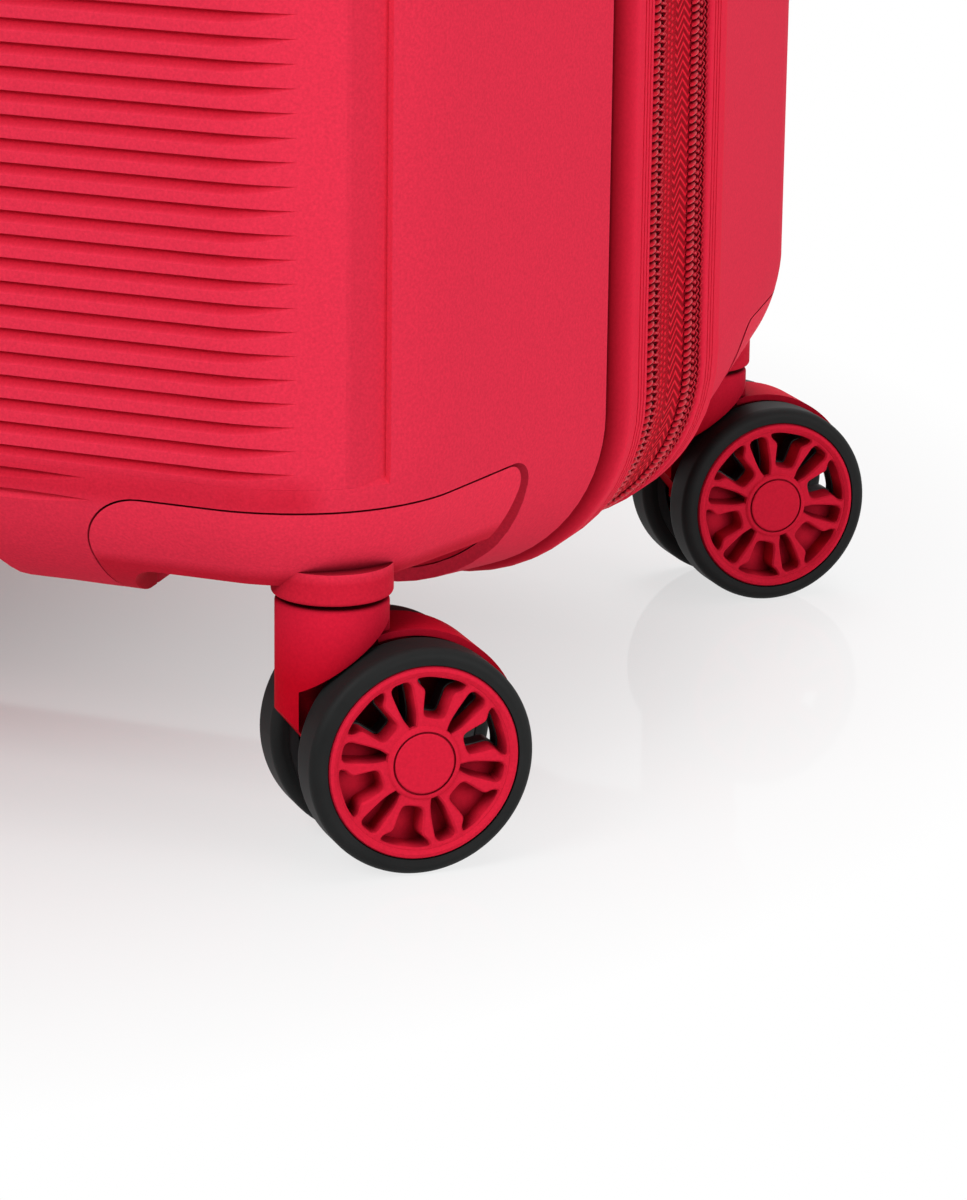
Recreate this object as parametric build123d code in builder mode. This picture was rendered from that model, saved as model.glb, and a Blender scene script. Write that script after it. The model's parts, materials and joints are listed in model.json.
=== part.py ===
"""Hard shell suitcase on four twin-wheel casters.

Millimetres. +Z is up and z = 0 is the floor; the front of the case faces -Y and its width runs along X.
The case is two drafted half shells that meet at a band of trim frames and zippers. The front half is the lid.
"""

import os
from math import cos, radians, sin, tan

from build123d import *

os.makedirs("parts", exist_ok=True)

# Case
case_half_width = 227.0
case_low = 43.5
case_high = 672.5
case_half_depth = 139.0
case_mid_y = -7.5
wall = 3.0
draft = 6.8
corner_radius = 40.0
band_half = 37.0
case_mid_z = (case_low + case_high) / 2
case_tall = case_high - case_low
slope = tan(radians(draft))
front_y = case_mid_y - case_half_depth
rear_y = case_mid_y + case_half_depth
left_of = Plane.YZ
behind = Plane.XZ.offset(-case_mid_y)

# Ribs and corner grooves of the shells
rib_pitch = 5.0
rib_low = 78.4
rib_rows = 111
rib_depth = 1.3
rib_lip = 1.35
rib_floor = 0.95
rib_ramp = 1.4
short_rows = 2
short_half_width = 131.0
short_runout_radius = 120.0
runout_radius = 59.0
corner_flat = case_half_width - (case_half_depth - corner_radius - band_half) * slope
flat_half_width = corner_flat - corner_radius / cos(radians(draft))
groove_angle = 48.0
groove_half = 4.6
groove_break = 1.8
groove_shallow = 0.75
groove_depth = 1.9
groove_low = 85.5
base_half = 122.0
base_high = 63.0
base_back = 56.0
base_round = 6.0

# Trim frames and zippers
trim_proud = 3.0
trim_gap = 1.5
trim_inner = 18.5
trim_thick = 8.5
tongue_deep = 11.5
tape_half = 12.3
part_gap = 0.15
coil_width = 3.05
coil_rise = 2.6
tape_thick = 1.0
tape_inset = 3.6
hinge_margin = 66.5
gusset_deep = 38.0

# Casters
stem_x = 195.1
stem_y = 114.0
wheel_radius = 25.0
trail = 14.3
toe = 42.7
tyre_width = 11.0
tyre_inside = 7.6
tyre_bore = 21.45
rim_radius = 21.4
rim_face = 19.0
hub_radius = 7.4
cap_radius = 6.7
ring_inner = 18.4
spoke_pairs = 6
spoke_back = 9.4
spoke_thick = 8.4
window_turn = 107.0
tyre_shoulder = 2.2
axle_radius = 2.5
axle_half = 17.5
running_fit = 0.05
slide_gap = 0.3
pin_radius = 4.0
pin_head_radius = 5.2
pin_low = 45.0
pin_head = 2.6
boss_radius = 9.0
boss_high = 80.0
collar_radius = 13.0
collar_round = 0.9
collar_low = 59.0
fork_top = 58.0
fork_radius = 12.2
web_half = 5.6
shield_back = -9.8
shield_low = 39.6
shield_high = 55.1
fender_radius = 26.2
fender_thick = 1.5
fender_half = 7.2
fender_web_half = 3.0
fender_from = 30.0
fender_to = 105.0
plate_low = 62.0
plate_thick = 4.0
pocket_front = (153.0, 125.0)
pocket_back = (138.5, 63.5)
pocket_corner = 14.0
pocket_round = 6.0
cup_wall = 2.5
housing_high = 80.4
housing_left = 147.0
ear_radius = 14.5
tip_depth = 72.0
tip_round = 7.2
seam = 0.45
flange_lap = 4.0

# Telescopic handle
tube_x = 85.0
tube_y = case_mid_y + 113.0
tube_low = 102.0
tube_high = 632.0
tube_wall = 1.2
outer_tube = (24.0, 16.0)
bezel_wide = 236.0
bezel_front = case_mid_y + 84.0
bezel_rear = case_mid_y + 132.0
bezel_low = 624.0
bezel_proud = 1.2
bezel_flange = 3.0
well_wide = 206.0
well_front = case_mid_y + 90.0
well_rear = case_mid_y + 129.0
well_floor = 634.0
grip_wide = 200.0
grip_deep = 24.0
grip_low = 636.0
grip_socket = 8.0
grip_proud = 0.6
grip_button = (44.0, 12.0)
grip_button_low = 650.0
grip_button_travel = 3.0

# Carry handles
handle_y = 58.0
side_handle_z = 358.0
handle_span = 156.0
handle_reach = 88.0
handle_gap = 8.0
handle_thick = 7.0
handle_wide = 20.0
leg_size = (14.0, 6.0)
leg_deep = 20.0
sleeve_size = (20.0, 12.0)
sleeve_deep = 22.0
flange_size = (34.0, 26.0)
flange_thick = 3.0

# Lock and zipper sliders
lock_y = 61.0
lock_z = 400.0
lock_long = 84.0
lock_wide = 30.0
lock_deep = 14.0
lock_rise = 2.4
lock_lip = 4.0
dial_radius = 6.5
dial_thick = 5.0
dial_sunk = 3.4
dial_places = (-22.0, -12.0, -2.0)
shaft_radius = 1.5
lock_button = (16.0, 12.0)
lock_button_place = 21.0
lock_button_travel = 2.5
slider_long = 15.0
slider_wide = 9.4
slider_thick = 2.0
slider_clear = 0.35
bail_size = (3.2, 4.0, 8.0)
pull_pin = 1.0
pull_long = 34.0
pull_tail = 0.9
pull_wide = 8.0
pull_thick = 1.8
main_slider_upper_z = 455.0
main_slider_lower_z = 345.0
expander_slider_z = 250.0


def half_body(side, inset):
    """Solid block of one case half, shrunk by inset. side is -1 for the front half and 1 for the rear."""
    parting = Plane((0, case_mid_y + side * band_half, 0), x_dir=(-side, 0, 0), z_dir=(0, side, 0))
    with BuildPart(mode=Mode.PRIVATE) as body:
        with BuildSketch(parting):
            with Locations((0, case_mid_z)):
                Rectangle(2 * (case_half_width - inset), case_tall - 2 * inset)
        extrude(amount=case_half_depth - band_half - inset, taper=draft)
        mouth = body.faces().sort_by(Axis.Y)[0 if side > 0 else -1]
        fillet(body.edges() - mouth.edges(), corner_radius - inset)
    return body.part


def ring(y_from, y_to, grow_out, grow_in, radius=corner_radius):
    """Frame round the case between two depths, its outer and inner faces set off from the shell's edge."""
    with BuildPart(mode=Mode.PRIVATE) as frame:
        with BuildSketch(Plane.XZ.offset(-y_from)):
            with Locations((0, case_mid_z)):
                wide = 2 * case_half_width
                RectangleRounded(wide + 2 * grow_out, case_tall + 2 * grow_out, radius + grow_out)
                RectangleRounded(
                    wide + 2 * grow_in, case_tall + 2 * grow_in, radius + grow_in, mode=Mode.SUBTRACT
                )
        extrude(amount=y_from - y_to)
    return frame.part


def rib_comb(rows):
    """Points of a comb whose teeth are the grooves between the ribs, with its spine outside the shell."""
    clear = 0.6
    spine = 3.0
    upper = (rib_lip - rib_floor) / rib_depth * clear
    lower = (rib_floor + rib_ramp) / rib_depth * clear
    points = []
    for row in rows:
        z = rib_low + row * rib_pitch
        points.append((front_y - clear, z - rib_ramp - lower))
        points.append((front_y + rib_depth, z + rib_floor))
        points.append((front_y - clear, z + rib_lip + upper))
    points.append((front_y - spine, points[-1][1]))
    points.append((front_y - spine, points[0][1]))
    return points


def recess_at(z):
    """How far the front face has curved back at a height near its lower edge."""
    tangent = case_low + (case_half_depth - corner_radius - band_half) * slope
    tangent += corner_radius / cos(radians(draft))
    return max(0.0, tangent - z) ** 2 / (2 * corner_radius)


def base_space(grow):
    """Space under the raised base between the front casters, its walls moved outwards by grow."""
    deep = 2 * case_half_depth
    with BuildPart(mode=Mode.PRIVATE) as space:
        with Locations((0, case_mid_y - base_back + grow, 0)):
            Box(2 * (base_half + grow), deep, base_high + grow, align=(Align.CENTER, Align.MAX, Align.MIN))
        fillet(space.edges().filter_by(Axis.Z).sort_by(Axis.Y)[-2:], 2 * base_round + grow)
        fillet(space.edges().group_by(Axis.Z)[-1], base_round + grow)
    return space.part


def case_body(inset):
    """Solid block of the front half with its raised base, shrunk by inset."""
    return half_body(-1, inset) - base_space(inset)


def pocket_space(grow, high):
    """Space of the front right wheel pocket up to a height, its walls moved outwards by grow."""
    far = 300.0
    lean = (pocket_front[0] - pocket_back[0]) / (pocket_front[1] - pocket_back[1])
    back_y = case_mid_y - pocket_back[1] + grow
    back_x = pocket_back[0] - grow * (1 + lean)
    with BuildPart(mode=Mode.PRIVATE) as space:
        with BuildSketch(Plane.XY) as plan:
            with BuildLine():
                Polyline(
                    (back_x, back_y),
                    (far, back_y),
                    (far, back_y - far),
                    (back_x + lean * far, back_y - far),
                    close=True,
                )
            make_face()
            fillet(plan.vertices().sort_by(Axis.X)[0], pocket_corner + grow)
        extrude(amount=high)
        fillet(space.edges().group_by(Axis.Z)[-1], pocket_round)
    return space.part


def housing_region(grow, outline, rounds):
    """Space of the front right wheel housing: its front view crossed with a side view.

    outline gives the side view as depths and heights, and rounds the radii at its third and fourth corners.
    """
    far = 300.0
    with BuildPart(mode=Mode.PRIVATE) as region:
        with BuildSketch(Plane.XZ.offset(-case_mid_y)) as front_view:
            with Locations((housing_left - grow, 0)):
                Rectangle(far, housing_high + grow, align=Align.MIN)
            fillet(front_view.vertices().group_by(Axis.X)[0].sort_by(Axis.Y)[-1], ear_radius + grow)
        extrude(amount=far)
        with BuildSketch(Plane.YZ) as side_view:
            with BuildLine():
                Polyline(*[(case_mid_y - depth, z) for depth, z in outline], close=True)
            make_face()
            for (depth, z), radius in zip(outline[2:4], rounds):
                corner = side_view.vertices().sort_by_distance((case_mid_y - depth, z, 0))[0]
                fillet(corner, radius)
        extrude(amount=2 * far, mode=Mode.INTERSECT)
    return region.part


# Half shell, made for the front and mirrored for the rear
front_block = case_body(0)
front_hollow = case_body(wall)
rear_block = mirror(front_block, about=behind)
front_stem = (stem_x, case_mid_y - stem_y)
case_far = 2 * case_half_depth
cut_high = housing_high + seam
cut_outline = [
    (case_far, 0),
    (pocket_back[1], 0),
    (pocket_back[1], 57.5),
    (tip_depth - 1.5, cut_high),
    (case_far, cut_high),
]
seam_space = housing_region(seam, cut_outline, (8.0, 9.5))
pocket = pocket_space(0, plate_low)

# Upright groove of the right-hand corner: two shallow facets, a steep wall, and sloped ends
groove_out = (sin(radians(groove_angle)), -cos(radians(groove_angle)), 0)
groove_along = (cos(radians(groove_angle)), sin(radians(groove_angle)), 0)
groove_start = (
    flat_half_width + corner_radius * groove_out[0],
    front_y + corner_radius + corner_radius * groove_out[1],
    groove_low,
)
groove_tall = case_tall - 2 * (groove_low - case_low)
groove_clear = 2.5
with BuildPart() as groove_form:
    with BuildSketch(Plane(groove_start, x_dir=groove_along, z_dir=(0, 0, 1))):
        with BuildLine():
            Polyline(
                (-groove_half - groove_clear, -groove_clear),
                (-groove_half - groove_clear, -0.15),
                (-groove_break, groove_shallow),
                (groove_half - 0.4, groove_depth),
                (groove_half + 0.6, -groove_clear),
                close=True,
            )
        make_face()
    extrude(amount=groove_tall)
    with BuildSketch(Plane(groove_start, x_dir=(0, 0, 1), z_dir=groove_along)):
        with BuildLine():
            Polyline(
                (-groove_clear, groove_clear),
                (groove_clear, -groove_clear),
                (groove_tall - groove_clear, -groove_clear),
                (groove_tall + groove_clear, groove_clear),
                close=True,
            )
        make_face()
    extrude(amount=4 * groove_half, both=True, mode=Mode.INTERSECT)

with BuildPart() as half_shell:
    add(front_block)
    add(front_hollow, mode=Mode.SUBTRACT)
    full_rows = range(short_rows, rib_rows)
    with BuildSketch(Plane.YZ):
        with BuildLine():
            Polyline(*rib_comb(full_rows), close=True)
        make_face()
    extrude(amount=flat_half_width, both=True, mode=Mode.SUBTRACT)
    for side in (-1, 1):
        with BuildSketch(Plane.YZ.offset(side * flat_half_width)):
            with BuildLine():
                Polyline(*rib_comb(full_rows), close=True)
            make_face()
        turn = Axis((side * flat_half_width, front_y + runout_radius, 0), (0, 0, side))
        revolve(axis=turn, revolution_arc=22, mode=Mode.SUBTRACT)
    for row in range(short_rows):
        z = rib_low + row * rib_pitch
        shift = Plane((0, recess_at(z), 0), x_dir=(0, 1, 0), z_dir=(1, 0, 0))
        with BuildSketch(shift):
            with BuildLine():
                Polyline(*rib_comb([row]), close=True)
            make_face()
        extrude(amount=short_half_width, both=True, mode=Mode.SUBTRACT)
        for side in (-1, 1):
            with BuildSketch(shift.offset(side * short_half_width)):
                with BuildLine():
                    Polyline(*rib_comb([row]), close=True)
                make_face()
            turn_y = front_y + recess_at(z) - short_runout_radius
            turn = Axis((side * short_half_width, turn_y, 0), (0, 0, -side))
            revolve(axis=turn, revolution_arc=9, mode=Mode.SUBTRACT)
    for space in (groove_form.part, seam_space, pocket):
        add(space, mode=Mode.SUBTRACT)
        mirror(space, about=left_of, mode=Mode.SUBTRACT)


def wall_plane(side, depth, height):
    """Plane on the right-hand wall of a case half, its normal outwards and its x axis upwards."""
    across = case_half_width - (depth - band_half) * slope
    out = (cos(radians(draft)), side * sin(radians(draft)), 0)
    return Plane((across, case_mid_y + side * depth, height), x_dir=(0, 0, 1), z_dir=out)


# Faces that the lock and the carry handles stand on
lock_plane = wall_plane(-1, lock_y, lock_z)
top_handle_plane = Plane(
    (0, case_mid_y + handle_y, case_high - (handle_y - band_half) * slope),
    x_dir=(1, 0, 0),
    z_dir=(0, sin(radians(draft)), cos(radians(draft))),
)
handle_planes = (top_handle_plane, wall_plane(1, handle_y, side_handle_z))
mount_places = [(-handle_span / 2, 0), (handle_span / 2, 0)]
lock_box = (lock_long - 2 * lock_lip, lock_wide - 2 * lock_lip)

# Front shell, with the opening for the lock
with BuildPart() as front_shell:
    add(half_shell.part)
    with BuildSketch(lock_plane.offset(-2 * wall)):
        Rectangle(lock_box[0] + 2 * slide_gap, lock_box[1] + 2 * slide_gap)
    extrude(amount=4 * wall, mode=Mode.SUBTRACT)

front_shell.part.label = "front_shell"
export_step(front_shell.part, "parts/front_shell.step")

# Rear shell, with the openings for the trolley bezel and for the sleeves of the carry handles
bezel_middle = (0, (bezel_front + bezel_rear) / 2)
bezel_deep = bezel_rear - bezel_front
with BuildPart() as rear_shell:
    mirror(half_shell.part, about=behind)
    with BuildSketch(Plane.XY.offset(bezel_low - 4)):
        with Locations(bezel_middle):
            Rectangle(bezel_wide + 2 * slide_gap, bezel_deep + 2 * slide_gap)
    extrude(amount=100, mode=Mode.SUBTRACT)
    for plane in handle_planes:
        with BuildSketch(plane.offset(-2 * wall)):
            with Locations(*mount_places):
                Rectangle(sleeve_size[0] + 2 * slide_gap, sleeve_size[1] + 2 * slide_gap)
        extrude(amount=4 * wall, mode=Mode.SUBTRACT)

rear_shell.part.label = "rear_shell"
export_step(rear_shell.part, "parts/rear_shell.step")

# Trim frames: a rounded rail with fine lines beside the zipper and a tongue inside the shell's edge
rail_front = case_mid_y - band_half + trim_gap
rail_back = case_mid_y - trim_inner
tongue_half = case_half_width - wall + trim_gap * slope - part_gap / 2
rail_half = case_half_width + trim_proud
with BuildPart() as front_trim_frame:
    with BuildSketch(Plane.XZ.offset(-rail_back)):
        with Locations((0, case_mid_z)):
            RectangleRounded(2 * rail_half, case_tall + 2 * trim_proud, corner_radius + trim_proud)
    extrude(amount=rail_back - rail_front)
    fillet(front_trim_frame.faces().sort_by(Axis.Y)[0].edges(), 7.0)
    fillet(front_trim_frame.faces().sort_by(Axis.Y)[-1].edges(), 1.0)
    for line in range(3):
        line_y = rail_back - 2.2 - 1.8 * line
        add(ring(line_y, line_y - 0.6, trim_proud + 1, trim_proud - 0.5), mode=Mode.SUBTRACT)
    with BuildSketch(Plane.XZ.offset(-rail_front)):
        with Locations((0, case_mid_z)):
            tongue_tall = case_tall + 2 * (tongue_half - case_half_width)
            RectangleRounded(2 * tongue_half, tongue_tall, corner_radius - 1)
    extrude(amount=tongue_deep, taper=draft)
    with BuildSketch(Plane.XZ.offset(-rail_back)):
        with Locations((0, case_mid_z)):
            inner_half = rail_half - trim_thick
            RectangleRounded(2 * inner_half, case_tall + 2 * (inner_half - case_half_width), corner_radius - 1)
    extrude(amount=band_half, mode=Mode.SUBTRACT)

front_trim_frame.part.label = "front_trim_frame"
export_step(front_trim_frame.part, "parts/front_trim_frame.step")

with BuildPart() as rear_trim_frame:
    mirror(front_trim_frame.part, about=behind)

rear_trim_frame.part.label = "rear_trim_frame"
export_step(rear_trim_frame.part, "parts/rear_trim_frame.step")

# Zipper halves: a tape with a coil along its edge. The main zipper has no coil along the hinge on the left.
tape_out = trim_proud - tape_inset
tape_in = tape_out - tape_thick
coil_out = tape_out + coil_rise
main_line = case_mid_y - tape_half
expander_line = case_mid_y + tape_half
hinge_space = Pos(-case_half_width, main_line, case_mid_z) * Box(40, 12, case_tall - 2 * hinge_margin)

with BuildPart() as front_zipper_half:
    add(ring(main_line - part_gap, main_line - part_gap - coil_width, coil_out, tape_out))
    add(hinge_space, mode=Mode.SUBTRACT)
    add(ring(main_line - part_gap, rail_back, tape_out, tape_in))

front_zipper_half.part.label = "front_zipper_half"
export_step(front_zipper_half.part, "parts/front_zipper_half.step")

with BuildPart() as mid_zipper_band:
    add(ring(main_line + part_gap + coil_width, main_line + part_gap, coil_out, tape_out))
    add(hinge_space, mode=Mode.SUBTRACT)
    add(ring(expander_line - part_gap, expander_line - part_gap - coil_width, coil_out, tape_out))
    add(ring(expander_line - part_gap, main_line + part_gap, tape_out, tape_in))

mid_zipper_band.part.label = "mid_zipper_band"
export_step(mid_zipper_band.part, "parts/mid_zipper_band.step")

with BuildPart() as rear_zipper_half:
    add(ring(expander_line + part_gap + coil_width, expander_line + part_gap, coil_out, tape_out))
    add(ring(case_mid_y + trim_inner, expander_line + part_gap, tape_out, tape_in))

rear_zipper_half.part.label = "rear_zipper_half"
export_step(rear_zipper_half.part, "parts/rear_zipper_half.step")

# Cloth gusset, folded flat inside the band
with BuildPart() as expansion_gusset:
    gusset_out = trim_proud - trim_thick - slide_gap - 0.1
    gusset_back = case_mid_y + band_half - 7
    add(ring(gusset_back, gusset_back - gusset_deep, gusset_out, gusset_out - tape_thick, corner_radius + 6))

expansion_gusset.part.label = "expansion_gusset"
export_step(expansion_gusset.part, "parts/expansion_gusset.step")

# Lining of the lid, clear of the trim's tongue, the wheel housings and the lock
lining_gap = 0.3
lining_thick = 1.0
lining_face = case_body(wall + lining_gap)
lining_back = case_body(wall + lining_gap + lining_thick)
with BuildPart() as front_lining:
    add(lining_face)
    add(lining_back, mode=Mode.SUBTRACT)
    with BuildSketch(Plane.XZ.offset(-case_mid_y)):
        with Locations((0, case_mid_z)):
            Rectangle(3 * case_half_width, 2 * case_tall)
    extrude(amount=band_half - trim_gap + tongue_deep + 1, mode=Mode.SUBTRACT)
    with BuildSketch(Plane.XY):
        with Locations((-stem_x, front_stem[1]), front_stem):
            Rectangle(128, 128)
    extrude(amount=housing_high + 6, mode=Mode.SUBTRACT)
    with BuildSketch(lock_plane.offset(-lock_deep)):
        Rectangle(lock_long, lock_wide)
    extrude(amount=lock_deep, mode=Mode.SUBTRACT)

front_lining.part.label = "front_lining"
export_step(front_lining.part, "parts/front_lining.step")

# Lining of the rear half: a panel on the wall with a channel over each trolley tube
tube_places = [(-tube_x, tube_y), (tube_x, tube_y)]
lining_low = tube_low + 16
lining_high = bezel_low - 12
panel_half = 176.0
panel_y = rear_y - wall - lining_thick
channel_wide = outer_tube[0] + 10
channel_y = tube_y - outer_tube[1] / 2 - 3
with BuildPart() as rear_lining:
    with BuildSketch(Plane.XY.offset(lining_low)):
        with Locations((0, panel_y + lining_thick / 2)):
            Rectangle(2 * panel_half, lining_thick)
        with Locations((-tube_x, (channel_y + panel_y) / 2), (tube_x, (channel_y + panel_y) / 2)):
            Rectangle(channel_wide, panel_y - channel_y)
        channel_mid = (channel_y + lining_thick + rear_y) / 2
        with Locations((-tube_x, channel_mid), (tube_x, channel_mid)):
            hollow_deep = rear_y - channel_y - lining_thick
            Rectangle(channel_wide - 2 * lining_thick, hollow_deep, mode=Mode.SUBTRACT)
    extrude(amount=lining_high - lining_low)

rear_lining.part.label = "rear_lining"
export_step(rear_lining.part, "parts/rear_lining.step")

# Wheel housing, made for the front right corner and mirrored to the other three
skin_outline = [
    (case_far, 0),
    (101, 0),
    (tip_depth, 63),
    (tip_depth, housing_high),
    (case_far, housing_high),
]
housing_space = housing_region(0, skin_outline, (5.0, tip_round))
lap_outline = [
    (case_far, 0),
    (pocket_back[1] - flange_lap, 0),
    (pocket_back[1] - flange_lap, cut_high - 10),
    (pocket_back[1], cut_high + flange_lap),
    (case_far, cut_high + flange_lap),
]
flange_space = housing_region(seam + flange_lap, lap_outline, (4.0, 4.0))
flange_face = case_body(wall + lining_gap)
flange_back = case_body(wall + lining_gap + cup_wall)
plate_high = plate_low + plate_thick
with BuildPart() as housing_inside:
    add(front_block)
    add(housing_space, mode=Mode.INTERSECT)
    add(flange_face)

with BuildPart() as housing_floor:
    add(pocket_space(cup_wall + lining_gap, plate_high))
    add(housing_inside.part, mode=Mode.INTERSECT)

with BuildPart() as housing_flange:
    add(flange_face)
    add(flange_space, mode=Mode.INTERSECT)
    add(flange_back, mode=Mode.SUBTRACT)

with BuildPart() as housing_form:
    add(front_block)
    add(housing_space, mode=Mode.INTERSECT)
    add(flange_back, mode=Mode.SUBTRACT)
    add(housing_flange.part)
    add(housing_floor.part)
    add(pocket, mode=Mode.SUBTRACT)
    for radius, low, high in (
        (collar_radius, collar_low, plate_high),
        (boss_radius, plate_high, boss_high),
    ):
        with BuildSketch(Plane.XY.offset(low)):
            with Locations(front_stem):
                Circle(radius)
        extrude(amount=high - low)
    circles = housing_form.edges().filter_by(GeomType.CIRCLE)
    fillet([edge for edge in circles if abs(edge.center().Z - collar_low) < 0.01], collar_round)
    with BuildSketch(Plane.XY.offset(collar_low)):
        with Locations(front_stem):
            Circle(pin_radius)
    extrude(amount=boss_high - collar_low, mode=Mode.SUBTRACT)

# King pin, standing on the origin
with BuildPart() as pin_form:
    for radius, low, high in (
        (pin_head_radius, pin_low, pin_low + pin_head),
        (pin_radius, pin_low, boss_high),
        (boss_radius - 2, boss_high, boss_high + pin_head),
    ):
        with BuildSketch(Plane.XY.offset(low)):
            Circle(radius)
        extrude(amount=high - low)


def from_axle(radius, angle):
    """Point in the caster's side view, from its distance and direction off the axle."""
    return (trail + radius * cos(radians(angle)), wheel_radius + radius * sin(radians(angle)))


# Caster fork, standing on the origin and trailing towards +X, with its axle along Y
axle_centre = from_axle(0, 0)
side_clear = 30.0
pin_play = 0.4
with BuildPart() as fork_form:
    with BuildSketch(Plane.XY.offset(wheel_radius - 1)):
        Circle(fork_radius)
    extrude(amount=fork_top - wheel_radius + 1)
    fillet(fork_form.edges().group_by(Axis.Z)[-1], collar_round)
    for side in (-1, 1):
        with BuildSketch(Plane.XZ.offset(side * web_half)):
            with BuildLine():
                Polyline(
                    (shield_back, 0),
                    (shield_back, shield_low),
                    (fork_radius + 1, shield_high),
                    (side_clear, shield_high),
                    (side_clear, 0),
                    close=True,
                )
            make_face()
        extrude(amount=side * side_clear, mode=Mode.SUBTRACT)
    with BuildSketch(Plane.XZ.offset(-web_half)):
        with BuildLine():
            Polyline(
                (shield_back, wheel_radius - 1),
                (shield_back, shield_high),
                from_axle(fender_radius - fender_thick, 95),
                from_axle(fender_radius - fender_thick, 60),
                from_axle(7, -60),
                from_axle(7, -120),
                close=True,
            )
        make_face()
        with Locations(axle_centre):
            Circle(8)
    extrude(amount=2 * web_half)
    fender_turn = fender_to - fender_from
    with BuildSketch(Plane.XZ.offset(-fender_web_half)):
        with BuildLine():
            CenterArc(axle_centre, fender_radius, fender_from, fender_turn)
            Line(from_axle(fender_radius, fender_to), axle_centre)
            Line(axle_centre, from_axle(fender_radius, fender_from))
        make_face()
    extrude(amount=2 * fender_web_half)
    with BuildSketch(Plane.XZ.offset(-fender_half)):
        with BuildLine():
            CenterArc(axle_centre, fender_radius, fender_from, fender_turn)
            CenterArc(axle_centre, fender_radius - fender_thick, fender_from, fender_turn)
            for angle in (fender_from, fender_to):
                Line(from_axle(fender_radius, angle), from_axle(fender_radius - fender_thick, angle))
        make_face()
    extrude(amount=2 * fender_half)
    with BuildSketch(Plane.XZ.offset(-side_clear)):
        with BuildLine():
            Polyline(
                (-side_clear, 0),
                (-side_clear, 34),
                (-fork_radius, 34),
                (shield_back + 5, wheel_radius),
                (shield_back + 5, 0),
                close=True,
            )
        make_face()
    extrude(amount=2 * side_clear, mode=Mode.SUBTRACT)
    for radius, low, high in (
        (pin_radius + running_fit, pin_low, fork_top),
        (pin_head_radius + slide_gap, pin_low - pin_play, pin_low + pin_head + pin_play),
    ):
        with BuildSketch(Plane.XY.offset(low)):
            Circle(radius)
        extrude(amount=high - low, mode=Mode.SUBTRACT)
    with BuildSketch(Plane.XZ.offset(-side_clear)):
        with Locations(axle_centre):
            Circle(axle_radius)
    extrude(amount=2 * side_clear, mode=Mode.SUBTRACT)

with BuildPart() as axle_form:
    with BuildSketch(Plane.XZ.offset(-axle_half)):
        with Locations(axle_centre):
            Circle(axle_radius)
    extrude(amount=2 * axle_half)


def window(corners):
    """Outline of a window in the rim, alike on both sides of the x axis, from radii and half widths."""
    return corners + [(radius, -half) for radius, half in reversed(corners)]


# Spoked rim about the Y axis, its outer face towards -Y
teardrop = window([(8.2, 0.6), (10.5, 1.5), (13.5, 1.9), (18.3, 2.1)])
wide_window = window([(9.3, 1.6), (12.0, 2.5), (15.4, 3.0), (16.6, 4.2), (18.0, 4.5)])
hub_inside = web_half + 0.8
ring_inside = tyre_inside + 0.2
with BuildPart() as rim_form:
    with BuildSketch(Plane.XZ.offset(spoke_back)):
        Circle(rim_radius - 1)
        with PolarLocations(0, spoke_pairs, start_angle=window_turn):
            Polygon(*teardrop, align=None, mode=Mode.SUBTRACT)
        with PolarLocations(0, spoke_pairs, start_angle=window_turn + 180 / spoke_pairs):
            Polygon(*wide_window, align=None, mode=Mode.SUBTRACT)
    extrude(amount=spoke_thick)
    with BuildSketch(Plane.XZ.offset(ring_inside)):
        Circle(rim_radius)
        Circle(ring_inner, mode=Mode.SUBTRACT)
    extrude(amount=rim_face - ring_inside)
    with BuildSketch(Plane.XZ.offset(hub_inside)):
        Circle(hub_radius)
    extrude(amount=rim_face - hub_inside)
    lip = [edge for edge in rim_form.edges().group_by(Axis.Y)[0] if edge.radius > hub_radius + 1]
    chamfer(lip, 0.5)
    with BuildSketch(Plane.XZ.offset(rim_face)):
        Circle(cap_radius + 0.25)
        Circle(cap_radius, mode=Mode.SUBTRACT)
    extrude(amount=-0.5, mode=Mode.SUBTRACT)
    with BuildSketch(Plane.XZ):
        Circle(axle_radius + running_fit)
    extrude(amount=axle_half + slide_gap, mode=Mode.SUBTRACT)

with BuildPart() as tyre_form:
    with BuildSketch(Plane.XY):
        with Locations(((tyre_bore + wheel_radius) / 2, -tyre_inside - tyre_width / 2)):
            Rectangle(wheel_radius - tyre_bore, tyre_width)
    revolve(axis=Axis.Y)
    fillet(tyre_form.edges().filter_by(GeomType.CIRCLE).sort_by(SortBy.RADIUS)[-2:], tyre_shoulder)

# The four casters with their housings
half_turn = Location((0, 0, 0), (0, 0, 180))
pins = {"front": [], "rear": []}
for half, side_y in (("front", -1), ("rear", 1)):
    for hand, side_x in (("left", -1), ("right", 1)):
        stem = (side_x * stem_x, case_mid_y + side_y * stem_y, 0)
        place = Location(stem, (0, 0, toe if side_x > 0 else 180 - toe))
        right_wheel = place * Location((trail, 0, wheel_radius))
        left_wheel = right_wheel * half_turn
        outer, inner = (right_wheel, left_wheel) if side_x > 0 else (left_wheel, right_wheel)
        housing = housing_form.part
        if side_x < 0:
            housing = mirror(housing, about=left_of)
        if side_y > 0:
            housing = mirror(housing, about=behind)
        pins[half].append(pin_form.part.moved(Location(stem)))
        for name, shape in (
            ("wheel_housing", housing),
            ("caster_fork", fork_form.part.moved(place)),
            ("axle", axle_form.part.moved(place)),
            ("outer_rim", rim_form.part.moved(outer)),
            ("inner_rim", rim_form.part.moved(inner)),
            ("outer_tyre", tyre_form.part.moved(outer)),
            ("inner_tyre", tyre_form.part.moved(inner)),
        ):
            with BuildPart() as caster_piece:
                add(shape)
            caster_piece.part.label = f"{half}_{hand}_{name}"
            export_step(caster_piece.part, f"parts/{half}_{hand}_{name}.step")

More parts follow.
